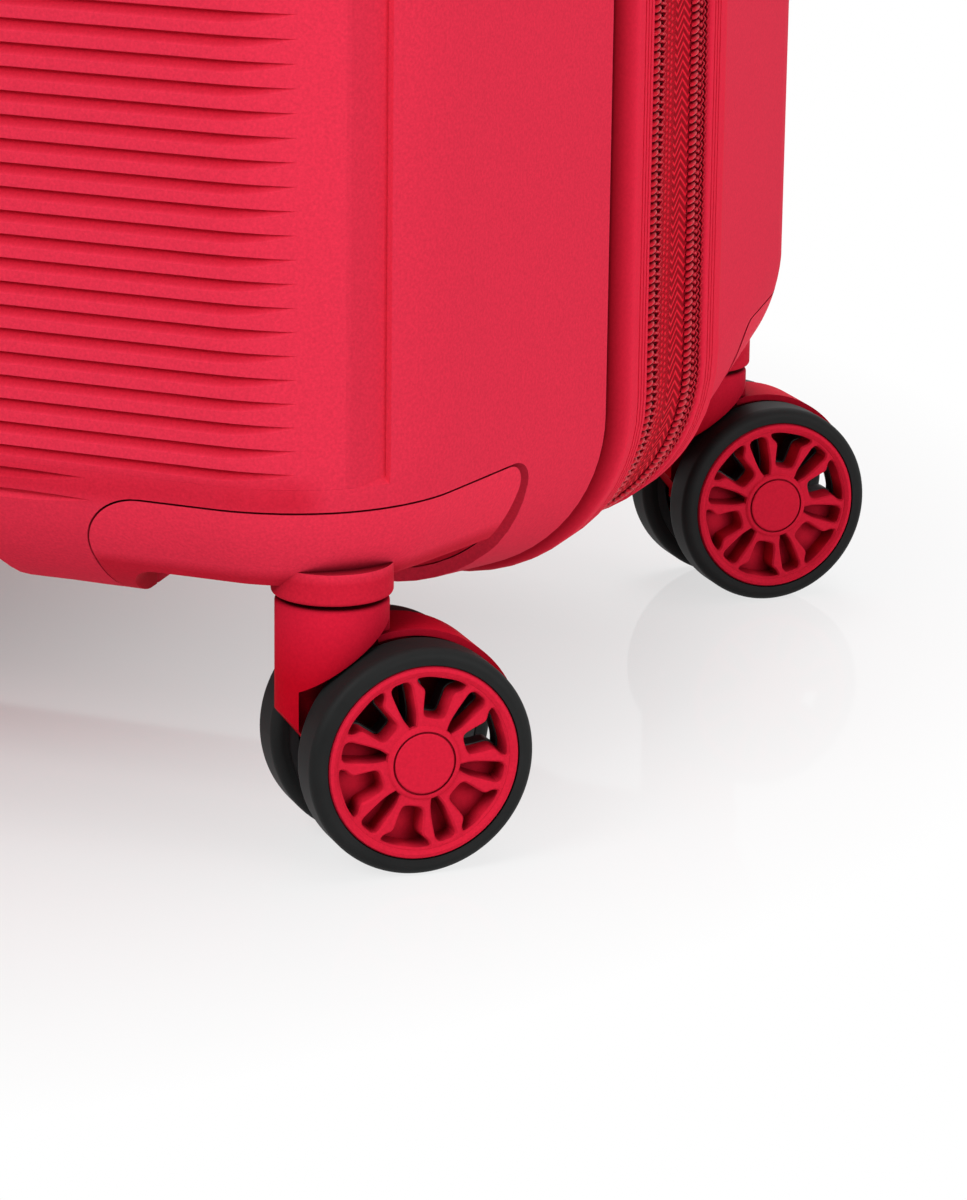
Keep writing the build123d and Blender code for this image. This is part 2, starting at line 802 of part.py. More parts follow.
for half, pair in pins.items():
    with BuildPart() as kingpins:
        add(pair)
    kingpins.part.label = f"{half}_kingpins"
    export_step(kingpins.part, f"parts/{half}_kingpins.step")

# Telescopic handle: three stages of paired tubes
tube_step = 2 * (tube_wall + slide_gap)
middle_tube = (outer_tube[0] - tube_step, outer_tube[1] - tube_step)
inner_tube = (middle_tube[0] - tube_step, middle_tube[1] - tube_step)
for stage, size, low, high in (
    ("outer", outer_tube, tube_low, tube_high),
    ("middle", middle_tube, tube_low + 10, well_floor + 0.6),
    ("inner", inner_tube, tube_low + 16, grip_low + grip_socket),
):
    with BuildPart() as tubes:
        with BuildSketch(Plane.XY.offset(low)):
            with Locations(*tube_places):
                RectangleRounded(size[0], size[1], 3)
                RectangleRounded(size[0] - 2 * tube_wall, size[1] - 2 * tube_wall, 1.8, mode=Mode.SUBTRACT)
        extrude(amount=high - low)
    tubes.part.label = f"trolley_{stage}_tubes"
    export_step(tubes.part, f"parts/trolley_{stage}_tubes.step")

# Base bracket, against the rear wall
bracket_front = tube_y - outer_tube[1] / 2 - 3
bracket_rear = rear_y - wall
with BuildPart() as trolley_base_bracket:
    with BuildSketch(Plane.XY.offset(tube_low - 6)):
        with Locations((0, (bracket_front + bracket_rear) / 2)):
            Rectangle(2 * tube_x + outer_tube[0] + 8, bracket_rear - bracket_front)
    extrude(amount=18)
    with BuildSketch(Plane.XY.offset(tube_low)):
        with Locations(*tube_places):
            RectangleRounded(outer_tube[0], outer_tube[1], 3)
    extrude(amount=40, mode=Mode.SUBTRACT)

trolley_base_bracket.part.label = "trolley_base_bracket"
export_step(trolley_base_bracket.part, "parts/trolley_base_bracket.step")

# Bezel in the top rear edge: a well for the grip, a flange on the shell, and guides for the tubes
bezel_skin = half_body(1, -bezel_proud)
with BuildPart() as bezel_flange_ring:
    with BuildSketch(Plane.XY.offset(bezel_low)):
        with Locations(bezel_middle):
            RectangleRounded(bezel_wide + 2 * bezel_flange, bezel_deep + 2 * bezel_flange, 5)
    extrude(amount=100)
    add(bezel_skin, mode=Mode.INTERSECT)
    add(rear_block, mode=Mode.SUBTRACT)

with BuildPart() as trolley_bezel:
    with BuildSketch(Plane.XY.offset(bezel_low)):
        with Locations(bezel_middle):
            Rectangle(bezel_wide, bezel_deep)
    extrude(amount=100)
    add(bezel_skin, mode=Mode.INTERSECT)
    add(bezel_flange_ring.part)
    with BuildSketch(Plane.XY.offset(well_floor)):
        with Locations((0, (well_front + well_rear) / 2)):
            RectangleRounded(well_wide, well_rear - well_front, 8)
    extrude(amount=100, mode=Mode.SUBTRACT)
    with BuildSketch(Plane.XY.offset(bezel_low)):
        with Locations(*tube_places):
            RectangleRounded(outer_tube[0], outer_tube[1], 3)
    extrude(amount=tube_high - bezel_low, mode=Mode.SUBTRACT)
    with BuildSketch(Plane.XY.offset(tube_high)):
        with Locations(*tube_places):
            RectangleRounded(middle_tube[0] + 2 * slide_gap, middle_tube[1] + 2 * slide_gap, 3.2)
    extrude(amount=well_floor - tube_high, mode=Mode.SUBTRACT)

trolley_bezel.part.label = "trolley_bezel"
export_step(trolley_bezel.part, "parts/trolley_bezel.step")

# Grip with its release button
grip_skin = half_body(1, -grip_proud)
grip_middle = (0, tube_y + 1)
button_floor = grip_button_low - grip_button_travel - 1
with BuildPart() as trolley_grip:
    with BuildSketch(Plane.XY.offset(grip_low)):
        with Locations(grip_middle):
            RectangleRounded(grip_wide, grip_deep, 7)
    extrude(amount=100)
    add(grip_skin, mode=Mode.INTERSECT)
    with BuildSketch(Plane.XY.offset(grip_low)):
        with Locations(*tube_places):
            RectangleRounded(inner_tube[0], inner_tube[1], 3)
    extrude(amount=grip_socket, mode=Mode.SUBTRACT)
    with BuildSketch(Plane.XY.offset(button_floor)):
        with Locations(grip_middle):
            RectangleRounded(grip_button[0] + 2 * slide_gap, grip_button[1] + 2 * slide_gap, 3.3)
    extrude(amount=100, mode=Mode.SUBTRACT)

trolley_grip.part.label = "trolley_grip"
export_step(trolley_grip.part, "parts/trolley_grip.step")

button_skin = half_body(1, -grip_proud - bezel_proud)
with BuildPart() as trolley_button:
    with BuildSketch(Plane.XY.offset(grip_button_low)):
        with Locations(grip_middle):
            RectangleRounded(grip_button[0], grip_button[1], 3)
    extrude(amount=100)
    add(button_skin, mode=Mode.INTERSECT)

trolley_button.part.label = "trolley_button"
export_step(trolley_button.part, "parts/trolley_button.step")

# Carry handles: mounts with sleeves through the shell, and arched grips whose legs slide in them
with BuildPart() as handle_mounts:
    for plane in handle_planes:
        with BuildSketch(plane):
            with Locations(*mount_places):
                RectangleRounded(flange_size[0], flange_size[1], 6)
        extrude(amount=flange_thick)
        with BuildSketch(plane):
            with Locations(*mount_places):
                Rectangle(sleeve_size[0], sleeve_size[1])
        extrude(amount=-sleeve_deep)
        with BuildSketch(plane.offset(flange_thick)):
            with Locations(*mount_places):
                Rectangle(leg_size[0] + 2 * slide_gap, leg_size[1] + 2 * slide_gap)
        extrude(amount=-flange_thick - sleeve_deep, mode=Mode.SUBTRACT)

handle_mounts.part.label = "handle_mounts"
export_step(handle_mounts.part, "parts/handle_mounts.step")

bar_end_low = flange_thick + 0.6
bar_end_high = bar_end_low + 4
for name, plane in zip(("top", "side"), handle_planes):
    front_view = Plane(plane.origin, x_dir=plane.x_dir, z_dir=-plane.y_dir)
    with BuildPart() as carry_grip:
        with BuildSketch(front_view.offset(-handle_wide / 2)):
            with BuildLine():
                ThreePointArc((-handle_reach, bar_end_low), (0, handle_gap), (handle_reach, bar_end_low))
                Line((handle_reach, bar_end_low), (handle_reach, bar_end_high))
                crown = handle_gap + handle_thick
                ThreePointArc((handle_reach, bar_end_high), (0, crown), (-handle_reach, bar_end_high))
                Line((-handle_reach, bar_end_high), (-handle_reach, bar_end_low))
            make_face()
        extrude(amount=handle_wide)
        fillet(carry_grip.edges().filter_by(GeomType.CIRCLE), 1.8)
        with BuildSketch(plane.offset(-leg_deep)):
            with Locations(*mount_places):
                Rectangle(leg_size[0], leg_size[1])
        extrude(amount=leg_deep + bar_end_low + 2)
    carry_grip.part.label = f"{name}_handle_grip"
    export_step(carry_grip.part, f"parts/{name}_handle_grip.step")

# Combination lock on the lid's right-hand wall
def on_lock(along, out):
    """Level plane through a point of the lock, given along its length and out from the shell."""
    return Plane(lock_plane.from_local_coords((along, 0, out)), x_dir=lock_plane.z_dir, z_dir=(0, 0, 1))


with BuildPart() as lock_body:
    with BuildSketch(lock_plane):
        RectangleRounded(lock_long, lock_wide, 6)
    extrude(amount=lock_rise)
    fillet(lock_body.faces().sort_by(Axis(lock_plane.origin, lock_plane.z_dir))[-1].edges(), 1.2)
    with BuildSketch(lock_plane):
        Rectangle(lock_box[0], lock_box[1])
    extrude(amount=-lock_deep)
    with BuildSketch(lock_plane.offset(lock_rise)):
        with Locations(*[(along, 0) for along in dial_places]):
            Rectangle(dial_thick + 2 * slide_gap, 2 * dial_radius + 1)
    extrude(amount=-lock_rise - dial_sunk - dial_radius - 0.6, mode=Mode.SUBTRACT)
    with BuildSketch(lock_plane.offset(lock_rise)):
        with Locations((lock_button_place, 0)):
            RectangleRounded(lock_button[0] + 2 * slide_gap, lock_button[1] + 2 * slide_gap, 2.3)
    extrude(amount=-lock_rise - 9, mode=Mode.SUBTRACT)
    with BuildSketch(on_lock(dial_places[0] - 6, -dial_sunk)):
        Circle(shaft_radius)
    extrude(amount=dial_places[-1] - dial_places[0] + 12)

lock_body.part.label = "lock_body"
export_step(lock_body.part, "parts/lock_body.step")

for number, along in enumerate(dial_places, start=1):
    with BuildPart() as lock_dial:
        with BuildSketch(on_lock(along - dial_thick / 2, -dial_sunk)):
            RegularPolygon(dial_radius, 10)
            Circle(shaft_radius + running_fit, mode=Mode.SUBTRACT)
        extrude(amount=dial_thick)
    lock_dial.part.label = f"lock_dial_{number}"
    export_step(lock_dial.part, f"parts/lock_dial_{number}.step")

with BuildPart() as lock_release:
    with BuildSketch(lock_plane.offset(lock_rise + 0.9)):
        with Locations((lock_button_place, 0)):
            RectangleRounded(lock_button[0], lock_button[1], 2)
    extrude(amount=-lock_rise - 0.9 - 9 + lock_button_travel + 1)

lock_release.part.label = "lock_button"
export_step(lock_release.part, "parts/lock_button.step")


# Zipper sliders: a plate over the coil, a flange beside it and a bail on top
slider_x = case_half_width + coil_out + slider_clear
bail_x = slider_x + slider_thick + bail_size[0] / 2
start_x = (Align.MIN, Align.CENTER, Align.CENTER)


def slider(line, side, z):
    """Slider on one zipper line. side is the way from the coil to the flange."""
    flange_from = part_gap + coil_width + slider_clear
    flange_wide = slider_wide / 2 - flange_from
    flange_x = case_half_width + tape_out + slider_clear
    with BuildPart(mode=Mode.PRIVATE) as body:
        with Locations((slider_x, line, z)):
            Box(slider_thick, slider_wide, slider_long, align=start_x)
        fillet(body.edges().filter_by(Axis.X), 2)
        with Locations((flange_x, line + side * (flange_from + flange_wide / 2), z)):
            Box(slider_x - flange_x + 0.5, flange_wide, slider_long - 5, align=start_x)
        with Locations((slider_x + slider_thick, line, z)):
            Box(*bail_size, align=start_x)
        fillet(body.faces().sort_by(Axis.X)[-1].edges().filter_by(Axis.Y), 1.2)
    return body.part


for name, z in (("upper", main_slider_upper_z), ("lower", main_slider_lower_z)):
    slider_shape = slider(main_line, 1, z)
    hinge_plane = Plane((bail_x, main_line + pull_wide / 2, z), x_dir=(1, 0, 0), z_dir=(0, -1, 0))
    with BuildPart() as main_slider:
        add(slider_shape)
        with BuildSketch(hinge_plane):
            Circle(pull_pin + running_fit)
        extrude(amount=pull_wide, mode=Mode.SUBTRACT)
    main_slider.part.label = f"main_slider_{name}"
    export_step(main_slider.part, f"parts/main_slider_{name}.step")

    pull_plane = Plane((bail_x - pull_thick / 2, main_line, z), x_dir=(0, 1, 0), z_dir=(1, 0, 0))
    with BuildPart() as main_pull:
        with BuildSketch(pull_plane):
            with Locations((0, (pull_tail - pull_long) / 2)):
                RectangleRounded(pull_wide, pull_long + pull_tail, 2)
            Rectangle(bail_size[1] + 2 * slider_clear, 2 * bail_size[2], mode=Mode.SUBTRACT)
        extrude(amount=pull_thick)
        with BuildSketch(hinge_plane):
            Circle(pull_pin)
        extrude(amount=pull_wide)
    main_pull.part.label = f"main_pull_{name}"
    export_step(main_pull.part, f"parts/main_pull_{name}.step")

expander_shape = slider(expander_line, 1, expander_slider_z)
with BuildPart() as expander_slider:
    add(expander_shape)
    with Locations((slider_x + slider_thick + 0.8, expander_line, expander_slider_z)):
        Box(pull_thick, pull_wide, 26, align=(Align.MIN, Align.CENTER, Align.MAX))

expander_slider.part.label = "expander_slider"
export_step(expander_slider.part, "parts/expander_slider.step")
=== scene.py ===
"""Looks of the hard shell suitcase: materials, zipper coils and tapes, cloth, camera, light and floor."""

import json
from math import ceil, cos, pi, radians, sin, tan

import bpy
from mathutils import Matrix, Vector, noise as field
from mathutils.geometry import tessellate_polygon


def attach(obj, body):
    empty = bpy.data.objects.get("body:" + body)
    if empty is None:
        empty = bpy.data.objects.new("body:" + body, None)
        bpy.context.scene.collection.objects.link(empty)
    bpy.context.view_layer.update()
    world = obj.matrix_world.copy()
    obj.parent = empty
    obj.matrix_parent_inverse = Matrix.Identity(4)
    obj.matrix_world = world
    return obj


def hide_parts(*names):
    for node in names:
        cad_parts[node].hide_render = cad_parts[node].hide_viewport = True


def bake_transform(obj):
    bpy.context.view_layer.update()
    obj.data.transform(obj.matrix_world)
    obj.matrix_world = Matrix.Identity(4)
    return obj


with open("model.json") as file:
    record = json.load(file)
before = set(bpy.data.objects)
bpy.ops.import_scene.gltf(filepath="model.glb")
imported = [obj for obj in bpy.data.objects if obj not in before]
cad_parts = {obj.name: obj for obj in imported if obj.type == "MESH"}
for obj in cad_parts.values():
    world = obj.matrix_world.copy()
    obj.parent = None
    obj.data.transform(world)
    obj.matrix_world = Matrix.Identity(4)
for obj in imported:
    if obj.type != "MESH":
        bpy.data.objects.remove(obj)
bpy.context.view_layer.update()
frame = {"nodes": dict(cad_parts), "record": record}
nodes = frame["nodes"]

# Sizes of the case, in metres
MM = 0.001
MID_Y = -7.5 * MM
HALF_WIDE = 227.0 * MM
LOW = 43.5 * MM
HIGH = 672.5 * MM
MID_Z = (LOW + HIGH) / 2
CORNER = 40.0 * MM
TAPE_OUT = 1.25 * MM
COIL_RISE = 1.1 * MM
COIL_WIDE = 3.05 * MM
COIL_PITCH = 1.7 * MM
MAIN_LINE = MID_Y - 12.3 * MM
EXPANDER_LINE = MID_Y + 12.3 * MM
PART_GAP = 0.15 * MM
TRIM_INNER = 18.5 * MM
HINGE_LOW = LOW + 66.5 * MM
HINGE_HIGH = HIGH - 66.5 * MM
STEM_X = 195.1 * MM
STEM_Y = 114.0 * MM
TOE = 42.7
TRAIL = 14.3 * MM
WHEEL_RADIUS = 25.0 * MM
HALF_DEEP = 139.0 * MM
FLAT_X = 179.3 * MM
FLAT_Z = MID_Z - 83.5 * MM
RIB_DEPTH = 1.3 * MM
GROOVE_ANGLE = 48.0
GROOVE_X = 209.05 * MM
GROOVE_Y = 125.77 * MM
GROOVE_LOW = 86.0 * MM
GROOVE_SPAN = (-5.6 * MM, 4.1 * MM)
RIBS_END_X = (202.0 * MM, 196.0 * MM)
RIBS_END_Z = (280.0 * MM, 270.0 * MM)
TRIM_SHADE = (26.0 * MM, 36.0 * MM)
LOCK_LEAN = radians(6.8)

# Linings, straps and the lock, in millimetres. LINING_LEAN is a slope.
LINING_HALF_WIDE = 220.6
LINING_CORNER = 38.0
LINING_BEND = 34.0
LINING_LEAN = 0.119
LINING_STRAIGHT = 8
FOLDS_COARSE = 38
FOLDS_FINE = 15
STRAP_WIDE = 30
STRAP_THICK = 1.4
STRAP_END_X = 214
STRAP_DEEP = 58
STRAP_SINK = 9
STRAP_LOW = 200
STRAP_RISE = 330
LOCK_OFF_MIDDLE = 61
LOCK_DOWN_WALL = 24
LOCK_HIGH = 400
DIAL_PLACES = (-22, -12, -2)
DIAL_RADIUS = 6.5
DIAL_SUNK = 3.4
DIGIT_HIGH = 3.6

# Half of the turn that one of a dial's ten flats takes, in degrees
HALF_FLAT = 18

# Axes by number
X, Y, Z = 0, 1, 2

# Weave of the zipper tapes, in millimetres
TWILL_PITCH = 0.62
CHEVRON_PITCH = 2.05
CHEVRON_SLOPE = 0.72
STITCH_PITCH = 1.41


# Materials

def new_material(name):
    material = bpy.data.materials.new(name)
    material.use_nodes = True
    tree = material.node_tree
    return material, tree, tree.nodes["Principled BSDF"]


def node(tree, kind, inputs=None, **settings):
    made = tree.nodes.new(kind)
    for key, value in settings.items():
        setattr(made, key, value)
    for key, value in (inputs or {}).items():
        if isinstance(value, bpy.types.NodeSocket):
            tree.links.new(value, made.inputs[key])
        else:
            made.inputs[key].default_value = value
    return made


def coordinates(tree, kind="Object"):
    return node(tree, "ShaderNodeTexCoord").outputs[kind]


def noise(tree, where, scale, detail=2.0, roughness=0.5):
    settings = {"Vector": where, "Scale": scale, "Detail": detail, "Roughness": roughness}
    return node(tree, "ShaderNodeTexNoise", settings).outputs["Fac"]


def ramp(tree, value, *stops):
    made = node(tree, "ShaderNodeValToRGB", {"Fac": value})
    elements = made.color_ramp.elements
    while len(elements) < len(stops):
        elements.new(0.5)
    for element, (place, colour) in zip(elements, stops):
        element.position = place
        element.color = colour if len(colour) == 4 else (*colour, 1)
    return made.outputs["Color"]


def maths(tree, operation, a, b=0.0, c=0.0, clamp=False):
    made = tree.nodes.new("ShaderNodeMath")
    made.operation = operation
    made.use_clamp = clamp
    for socket, value in zip(made.inputs, (a, b, c)):
        if isinstance(value, bpy.types.NodeSocket):
            tree.links.new(value, socket)
        else:
            socket.default_value = value
    return made.outputs[0]


def between(tree, value, low, high, to_low=0.0, to_high=1.0):
    """Value taken from the range low to high into another range, and held at its ends."""
    limits = {"From Min": low, "From Max": high, "To Min": to_low, "To Max": to_high}
    return node(tree, "ShaderNodeMapRange", {"Value": value, **limits}).outputs["Result"]


def mix_colour(tree, factor, a, b, blend="MIX"):
    made = tree.nodes.new("ShaderNodeMix")
    made.data_type = "RGBA"
    made.blend_type = blend
    for key, value in ((0, factor), (6, a), (7, b)):
        if isinstance(value, bpy.types.NodeSocket):
            tree.links.new(value, made.inputs[key])
        else:
            made.inputs[key].default_value = value if key == 0 or len(value) == 4 else (*value, 1)
    return made.outputs[2]


def bump(tree, bsdf, height, distance, strength=1.0, under=None):
    made = node(tree, "ShaderNodeBump", {"Height": height, "Distance": distance, "Strength": strength})
    if under:
        tree.links.new(under, made.inputs["Normal"])
    tree.links.new(made.outputs["Normal"], bsdf.inputs["Normal"])


def roughness(tree, bsdf, value, low, high):
    tree.links.new(between(tree, value, 0.0, 1.0, low, high), bsdf.inputs["Roughness"])


def scaled(colour, factor):
    return tuple(min(1.0, c * factor) for c in colour)


def speckled(tree, grain, colour, speck):
    """Colour that the grain takes darker and lighter by a share."""
    stops = (0.30, scaled(colour, 1 - speck)), (0.52, colour), (0.74, scaled(colour, 1 + speck))
    return ramp(tree, grain, *stops)


def crevices(tree, colour, reach, power=1.4, dark=(0.05, 0.0008, 0.003)):
    """Colour painted darker in seams, between ribs and in hollows within a small reach: painted shade, by how
    little open sky each point sees.
    """
    open_sky = node(tree, "ShaderNodeAmbientOcclusion", {"Distance": reach}, samples=6).outputs["AO"]
    share = maths(tree, "POWER", open_sky, power)
    return mix_colour(tree, share, dark, colour)


def moulded(
    name,
    colour,
    rough,
    grain,
    depth,
    speck,
    specular=0.01,
    reach=0.0,
    power=1.0,
    tint=(1, 1, 1),
    low=None,
):
    """Moulded plastic: fine grain in colour and surface, and slow drift in shade and polish.

    low is a height, a second one above it, and a darker colour that fades out between them: painted shade on
    what lies below. reach, when given, paints shade into seams and hollows.
    """
    material, tree, bsdf = new_material(name)
    where = coordinates(tree)
    fine = noise(tree, where, grain, 3.0, 0.6)
    slow = noise(tree, where, 9.0, 2.0, 0.5)
    specks = speckled(tree, fine, colour, speck)
    drift = ramp(tree, slow, (0.3, (0.96, 0.96, 0.96)), (0.7, (1.0, 1.0, 1.0)))
    shade = mix_colour(tree, 1.0, specks, drift, "MULTIPLY")
    # Painted shade: colour darkened below a height
    if low:
        under, over, painted_shade_tone = low
        height = node(tree, "ShaderNodeSeparateXYZ", {"Vector": where}).outputs["Z"]
        rise = between(tree, height, under, over)
        shade = mix_colour(tree, 1.0, shade, mix_colour(tree, rise, painted_shade_tone, (1, 1, 1)), "MULTIPLY")
    tree.links.new(crevices(tree, shade, reach, power) if reach else shade, bsdf.inputs["Base Color"])
    roughness(tree, bsdf, slow, rough - 0.05, rough + 0.06)
    bsdf.inputs["Specular IOR Level"].default_value = specular
    bsdf.inputs["Specular Tint"].default_value = (*tint, 1)
    bump(tree, bsdf, fine, depth)
    return material


def shell_plastic(name, colour):
    """The shells' plastic: painted shade between the ribs, darker the deeper a point lies in a rib's valley,
    and the corner grooves' facets tilted a little more.
    """
    material, tree, bsdf = new_material(name)
    where = coordinates(tree)
    fine = noise(tree, where, 1500.0, 3.0, 0.6)
    slow = noise(tree, where, 9.0, 2.0, 0.5)
    specks = speckled(tree, fine, colour, 0.1)
    drift = ramp(tree, slow, (0.3, (0.96, 0.96, 0.96)), (0.7, (1.0, 1.0, 1.0)))
    shade = mix_colour(tree, 1.0, specks, drift, "MULTIPLY")
    split = node(tree, "ShaderNodeSeparateXYZ", {"Vector": where})
    across = maths(tree, "ABSOLUTE", split.outputs["X"])
    depth = maths(tree, "ABSOLUTE", maths(tree, "SUBTRACT", split.outputs["Y"], MID_Y))
    up = maths(tree, "ABSOLUTE", maths(tree, "SUBTRACT", split.outputs["Z"], MID_Z))
    sunk = maths(tree, "SUBTRACT", HALF_DEEP, depth)
    for measure, flat_to in ((across, FLAT_X), (up, FLAT_Z)):
        past = maths(tree, "MAXIMUM", maths(tree, "SUBTRACT", measure, flat_to), 0.0)
        left = maths(tree, "SUBTRACT", CORNER**2, maths(tree, "MULTIPLY", past, past))
        rise = maths(tree, "SQRT", maths(tree, "MAXIMUM", left, 0.0))
        sunk = maths(tree, "SUBTRACT", sunk, maths(tree, "SUBTRACT", CORNER, rise))
    # Painted shade in the rib valleys: colour darkens with a point's depth below the flat face
    valley = between(tree, sunk, 0.04 * MM, RIB_DEPTH)
    flat = between(tree, across, *RIBS_END_X)
    tall = between(tree, up, *RIBS_END_Z)
    valley = maths(tree, "MULTIPLY", valley, maths(tree, "MULTIPLY", flat, tall))
    painted_shade_tone = ramp(
        tree,
        valley,
        (0.0, (1, 1, 1)),
        (0.25, (0.9, 0.68, 0.73)),
        (0.7, (0.74, 0.34, 0.43)),
        (1.0, (0.78, 0.3, 0.4)),
    )
    tree.links.new(mix_colour(tree, 1.0, shade, painted_shade_tone, "MULTIPLY"), bsdf.inputs["Base Color"])
    roughness(tree, bsdf, slow, 0.53, 0.64)
    bsdf.inputs["Specular IOR Level"].default_value = 0.008
    turn = radians(GROOVE_ANGLE)
    from_x = maths(tree, "MULTIPLY", maths(tree, "SUBTRACT", across, GROOVE_X), cos(turn))
    from_y = maths(tree, "MULTIPLY", maths(tree, "SUBTRACT", depth, GROOVE_Y), sin(turn))
    along = maths(tree, "SUBTRACT", from_x, from_y)
    fall = between(tree, along, *GROOVE_SPAN, 1.0, 0.0)
    inside = maths(tree, "LESS_THAN", up, MID_Z - GROOVE_LOW)
    facets = maths(tree, "MULTIPLY", fall, inside)
    tilted = node(tree, "ShaderNodeBump", {"Height": facets, "Distance": 3.4 * MM, "Strength": 1.0})
    bump(tree, bsdf, fine, 0.035 * MM, 1.0, tilted.outputs["Normal"])
    return material


def trim_plastic(name, colour):
    """Satin trim, painted darker towards its joint with the shell as painted shade. Its tongue in there is
    coloured near black.
    """
    material, tree, bsdf = new_material(name)
    where = coordinates(tree)
    fine = noise(tree, where, 1300.0, 3.0, 0.6)
    split = node(tree, "ShaderNodeSeparateXYZ", {"Vector": where})
    off = maths(tree, "ABSOLUTE", maths(tree, "SUBTRACT", split.outputs["Y"], MID_Y))
    # Painted shade into the joint, then near black on the tongue
    inward = between(tree, off, *TRIM_SHADE)
    painted_shade_tone = ramp(
        tree,
        inward,
        (0.3, (1, 1, 1)),
        (0.66, (0.66, 0.5, 0.54)),
        (0.84, (0.4, 0.2, 0.24)),
        (0.89, (0.01, 0.01, 0.01)),
    )
    red = speckled(tree, fine, colour, 0.07)
    shade = mix_colour(tree, 1.0, red, painted_shade_tone, "MULTIPLY")
    tree.links.new(shade, bsdf.inputs["Base Color"])
    roughness(tree, bsdf, fine, 0.5, 0.6)
    bsdf.inputs["Specular IOR Level"].default_value = 0.012
    bump(tree, bsdf, fine, 0.015 * MM)
    return material


def rubber(name, colour):
    """Smooth tyre rubber with faint cloudiness and fine turned lines."""
    material, tree, bsdf = new_material(name)
    where = coordinates(tree)
    fine = noise(tree, where, 2200.0, 2.0)
    cloud = noise(tree, where, 60.0, 4.0, 0.6)
    base = ramp(tree, cloud, (0.3, scaled(colour, 0.82)), (0.7, scaled(colour, 1.25)))
    tree.links.new(base, bsdf.inputs["Base Color"])
    roughness(tree, bsdf, cloud, 0.5, 0.64)
    bsdf.inputs["Specular IOR Level"].default_value = 0.1
    bump(tree, bsdf, fine, 0.02 * MM)
    return material


def metal(name, colour, rough, grain):
    """Drawn or plated metal, with fine scratches along Z where grain stretches."""
    material, tree, bsdf = new_material(name)
    where = coordinates(tree)
    place = node(tree, "ShaderNodeMapping", {"Vector": where, "Scale": grain})
    lines = noise(tree, place.outputs["Vector"], 1.0, 3.0, 0.6)
    tree.links.new(ramp(tree, lines, (0.3, scaled(colour, 0.86)), (0.7, colour)), bsdf.inputs["Base Color"])
    roughness(tree, bsdf, lines, rough - 0.06, rough + 0.08)
    bsdf.inputs["Metallic"].default_value = 1.0
    bump(tree, bsdf, lines, 0.006 * MM)
    return material


def stripes(tree, value, pitch):
    """Smooth wave from 0 to 1 along a distance."""
    turn = maths(tree, "MULTIPLY", value, 2 * pi / pitch)
    return maths(tree, "MULTIPLY_ADD", maths(tree, "SINE", turn), 0.5, 0.5)


def zipper_cloth(name, colour, herringbone=None, seams=()):
    """Woven zipper tape. Its u runs along the zipper and v across it, in millimetres from the band's middle."""
    material, tree, bsdf = new_material(name)
    split = node(tree, "ShaderNodeSeparateXYZ", {"Vector": coordinates(tree, "UV")})
    along, across = split.outputs["X"], split.outputs["Y"]
    twill = stripes(tree, maths(tree, "MULTIPLY_ADD", across, 0.9, along), TWILL_PITCH)
    height = maths(tree, "MULTIPLY", twill, 0.55)
    if herringbone:
        peak, arm, low = herringbone
        off = maths(tree, "PINGPONG", maths(tree, "SUBTRACT", across, peak), arm)
        chevrons = stripes(tree, maths(tree, "MULTIPLY_ADD", off, CHEVRON_SLOPE, along), CHEVRON_PITCH)
        chevrons = maths(tree, "POWER", chevrons, 2.2)
        inside = maths(tree, "GREATER_THAN", across, low)
        swap = node(tree, "ShaderNodeMix", {0: inside, 2: height, 3: chevrons})
        height = swap.outputs[0]
    for index, place in enumerate(seams):
        dots = stripes(tree, maths(tree, "ADD", along, 0.7 * index), STITCH_PITCH)
        off = maths(tree, "ABSOLUTE", maths(tree, "SUBTRACT", across, place))
        near = maths(tree, "SUBTRACT", 1.0, maths(tree, "MULTIPLY", off, 1.05), clamp=True)
        stitch = maths(tree, "MULTIPLY", near, dots)
        height = maths(tree, "MAXIMUM", height, maths(tree, "MULTIPLY", stitch, 1.6))
    # Colour follows the weave's height, darker in low threads and lighter on raised threads and stitches:
    # painted shade and painted highlight. Painted shade also darkens it near coils and trims, within 1.5 mm.
    stops = (0.03, scaled(colour, 0.5)), (0.3, scaled(colour, 0.85)), (1.0, scaled(colour, 1.6))
    shade = ramp(tree, height, *stops)
    tree.links.new(crevices(tree, shade, 1.5 * MM), bsdf.inputs["Base Color"])
    roughness(tree, bsdf, height, 0.75, 0.55)
    bsdf.inputs["Specular IOR Level"].default_value = 0.03
    bump(tree, bsdf, height, 0.35 * MM, 0.9)
    return material


def woven(name, colour, pitch=0.55):
    """Plain woven lining cloth, crossed threads on the two flat directions that it lies in."""
    material, tree, bsdf = new_material(name)
    where = coordinates(tree)
    split = node(tree, "ShaderNodeSeparateXYZ", {"Vector": where})
    level = maths(tree, "ADD", split.outputs["X"], split.outputs["Y"])
    warp = stripes(tree, level, pitch * MM)
    weft = stripes(tree, split.outputs["Z"], pitch * MM)
    height = maths(tree, "MULTIPLY", warp, weft)
    slow = noise(tree, where, 25.0, 3.0)
    # Colour follows the weave's height, darker in low threads and lighter on raised ones: painted shade and
    # painted highlight
    cloth = ramp(tree, height, (0.1, scaled(colour, 0.65)), (0.8, scaled(colour, 1.2)))
    drift = ramp(tree, slow, (0.3, (0.85, 0.85, 0.85)), (0.7, (1.0, 1.0, 1.0)))
    tree.links.new(mix_colour(tree, 1.0, cloth, drift, "MULTIPLY"), bsdf.inputs["Base Color"])
    roughness(tree, bsdf, slow, 0.7, 0.85)
    bsdf.inputs["Sheen Weight"].default_value = 0.3
    bump(tree, bsdf, height, 0.12 * MM)
    return material


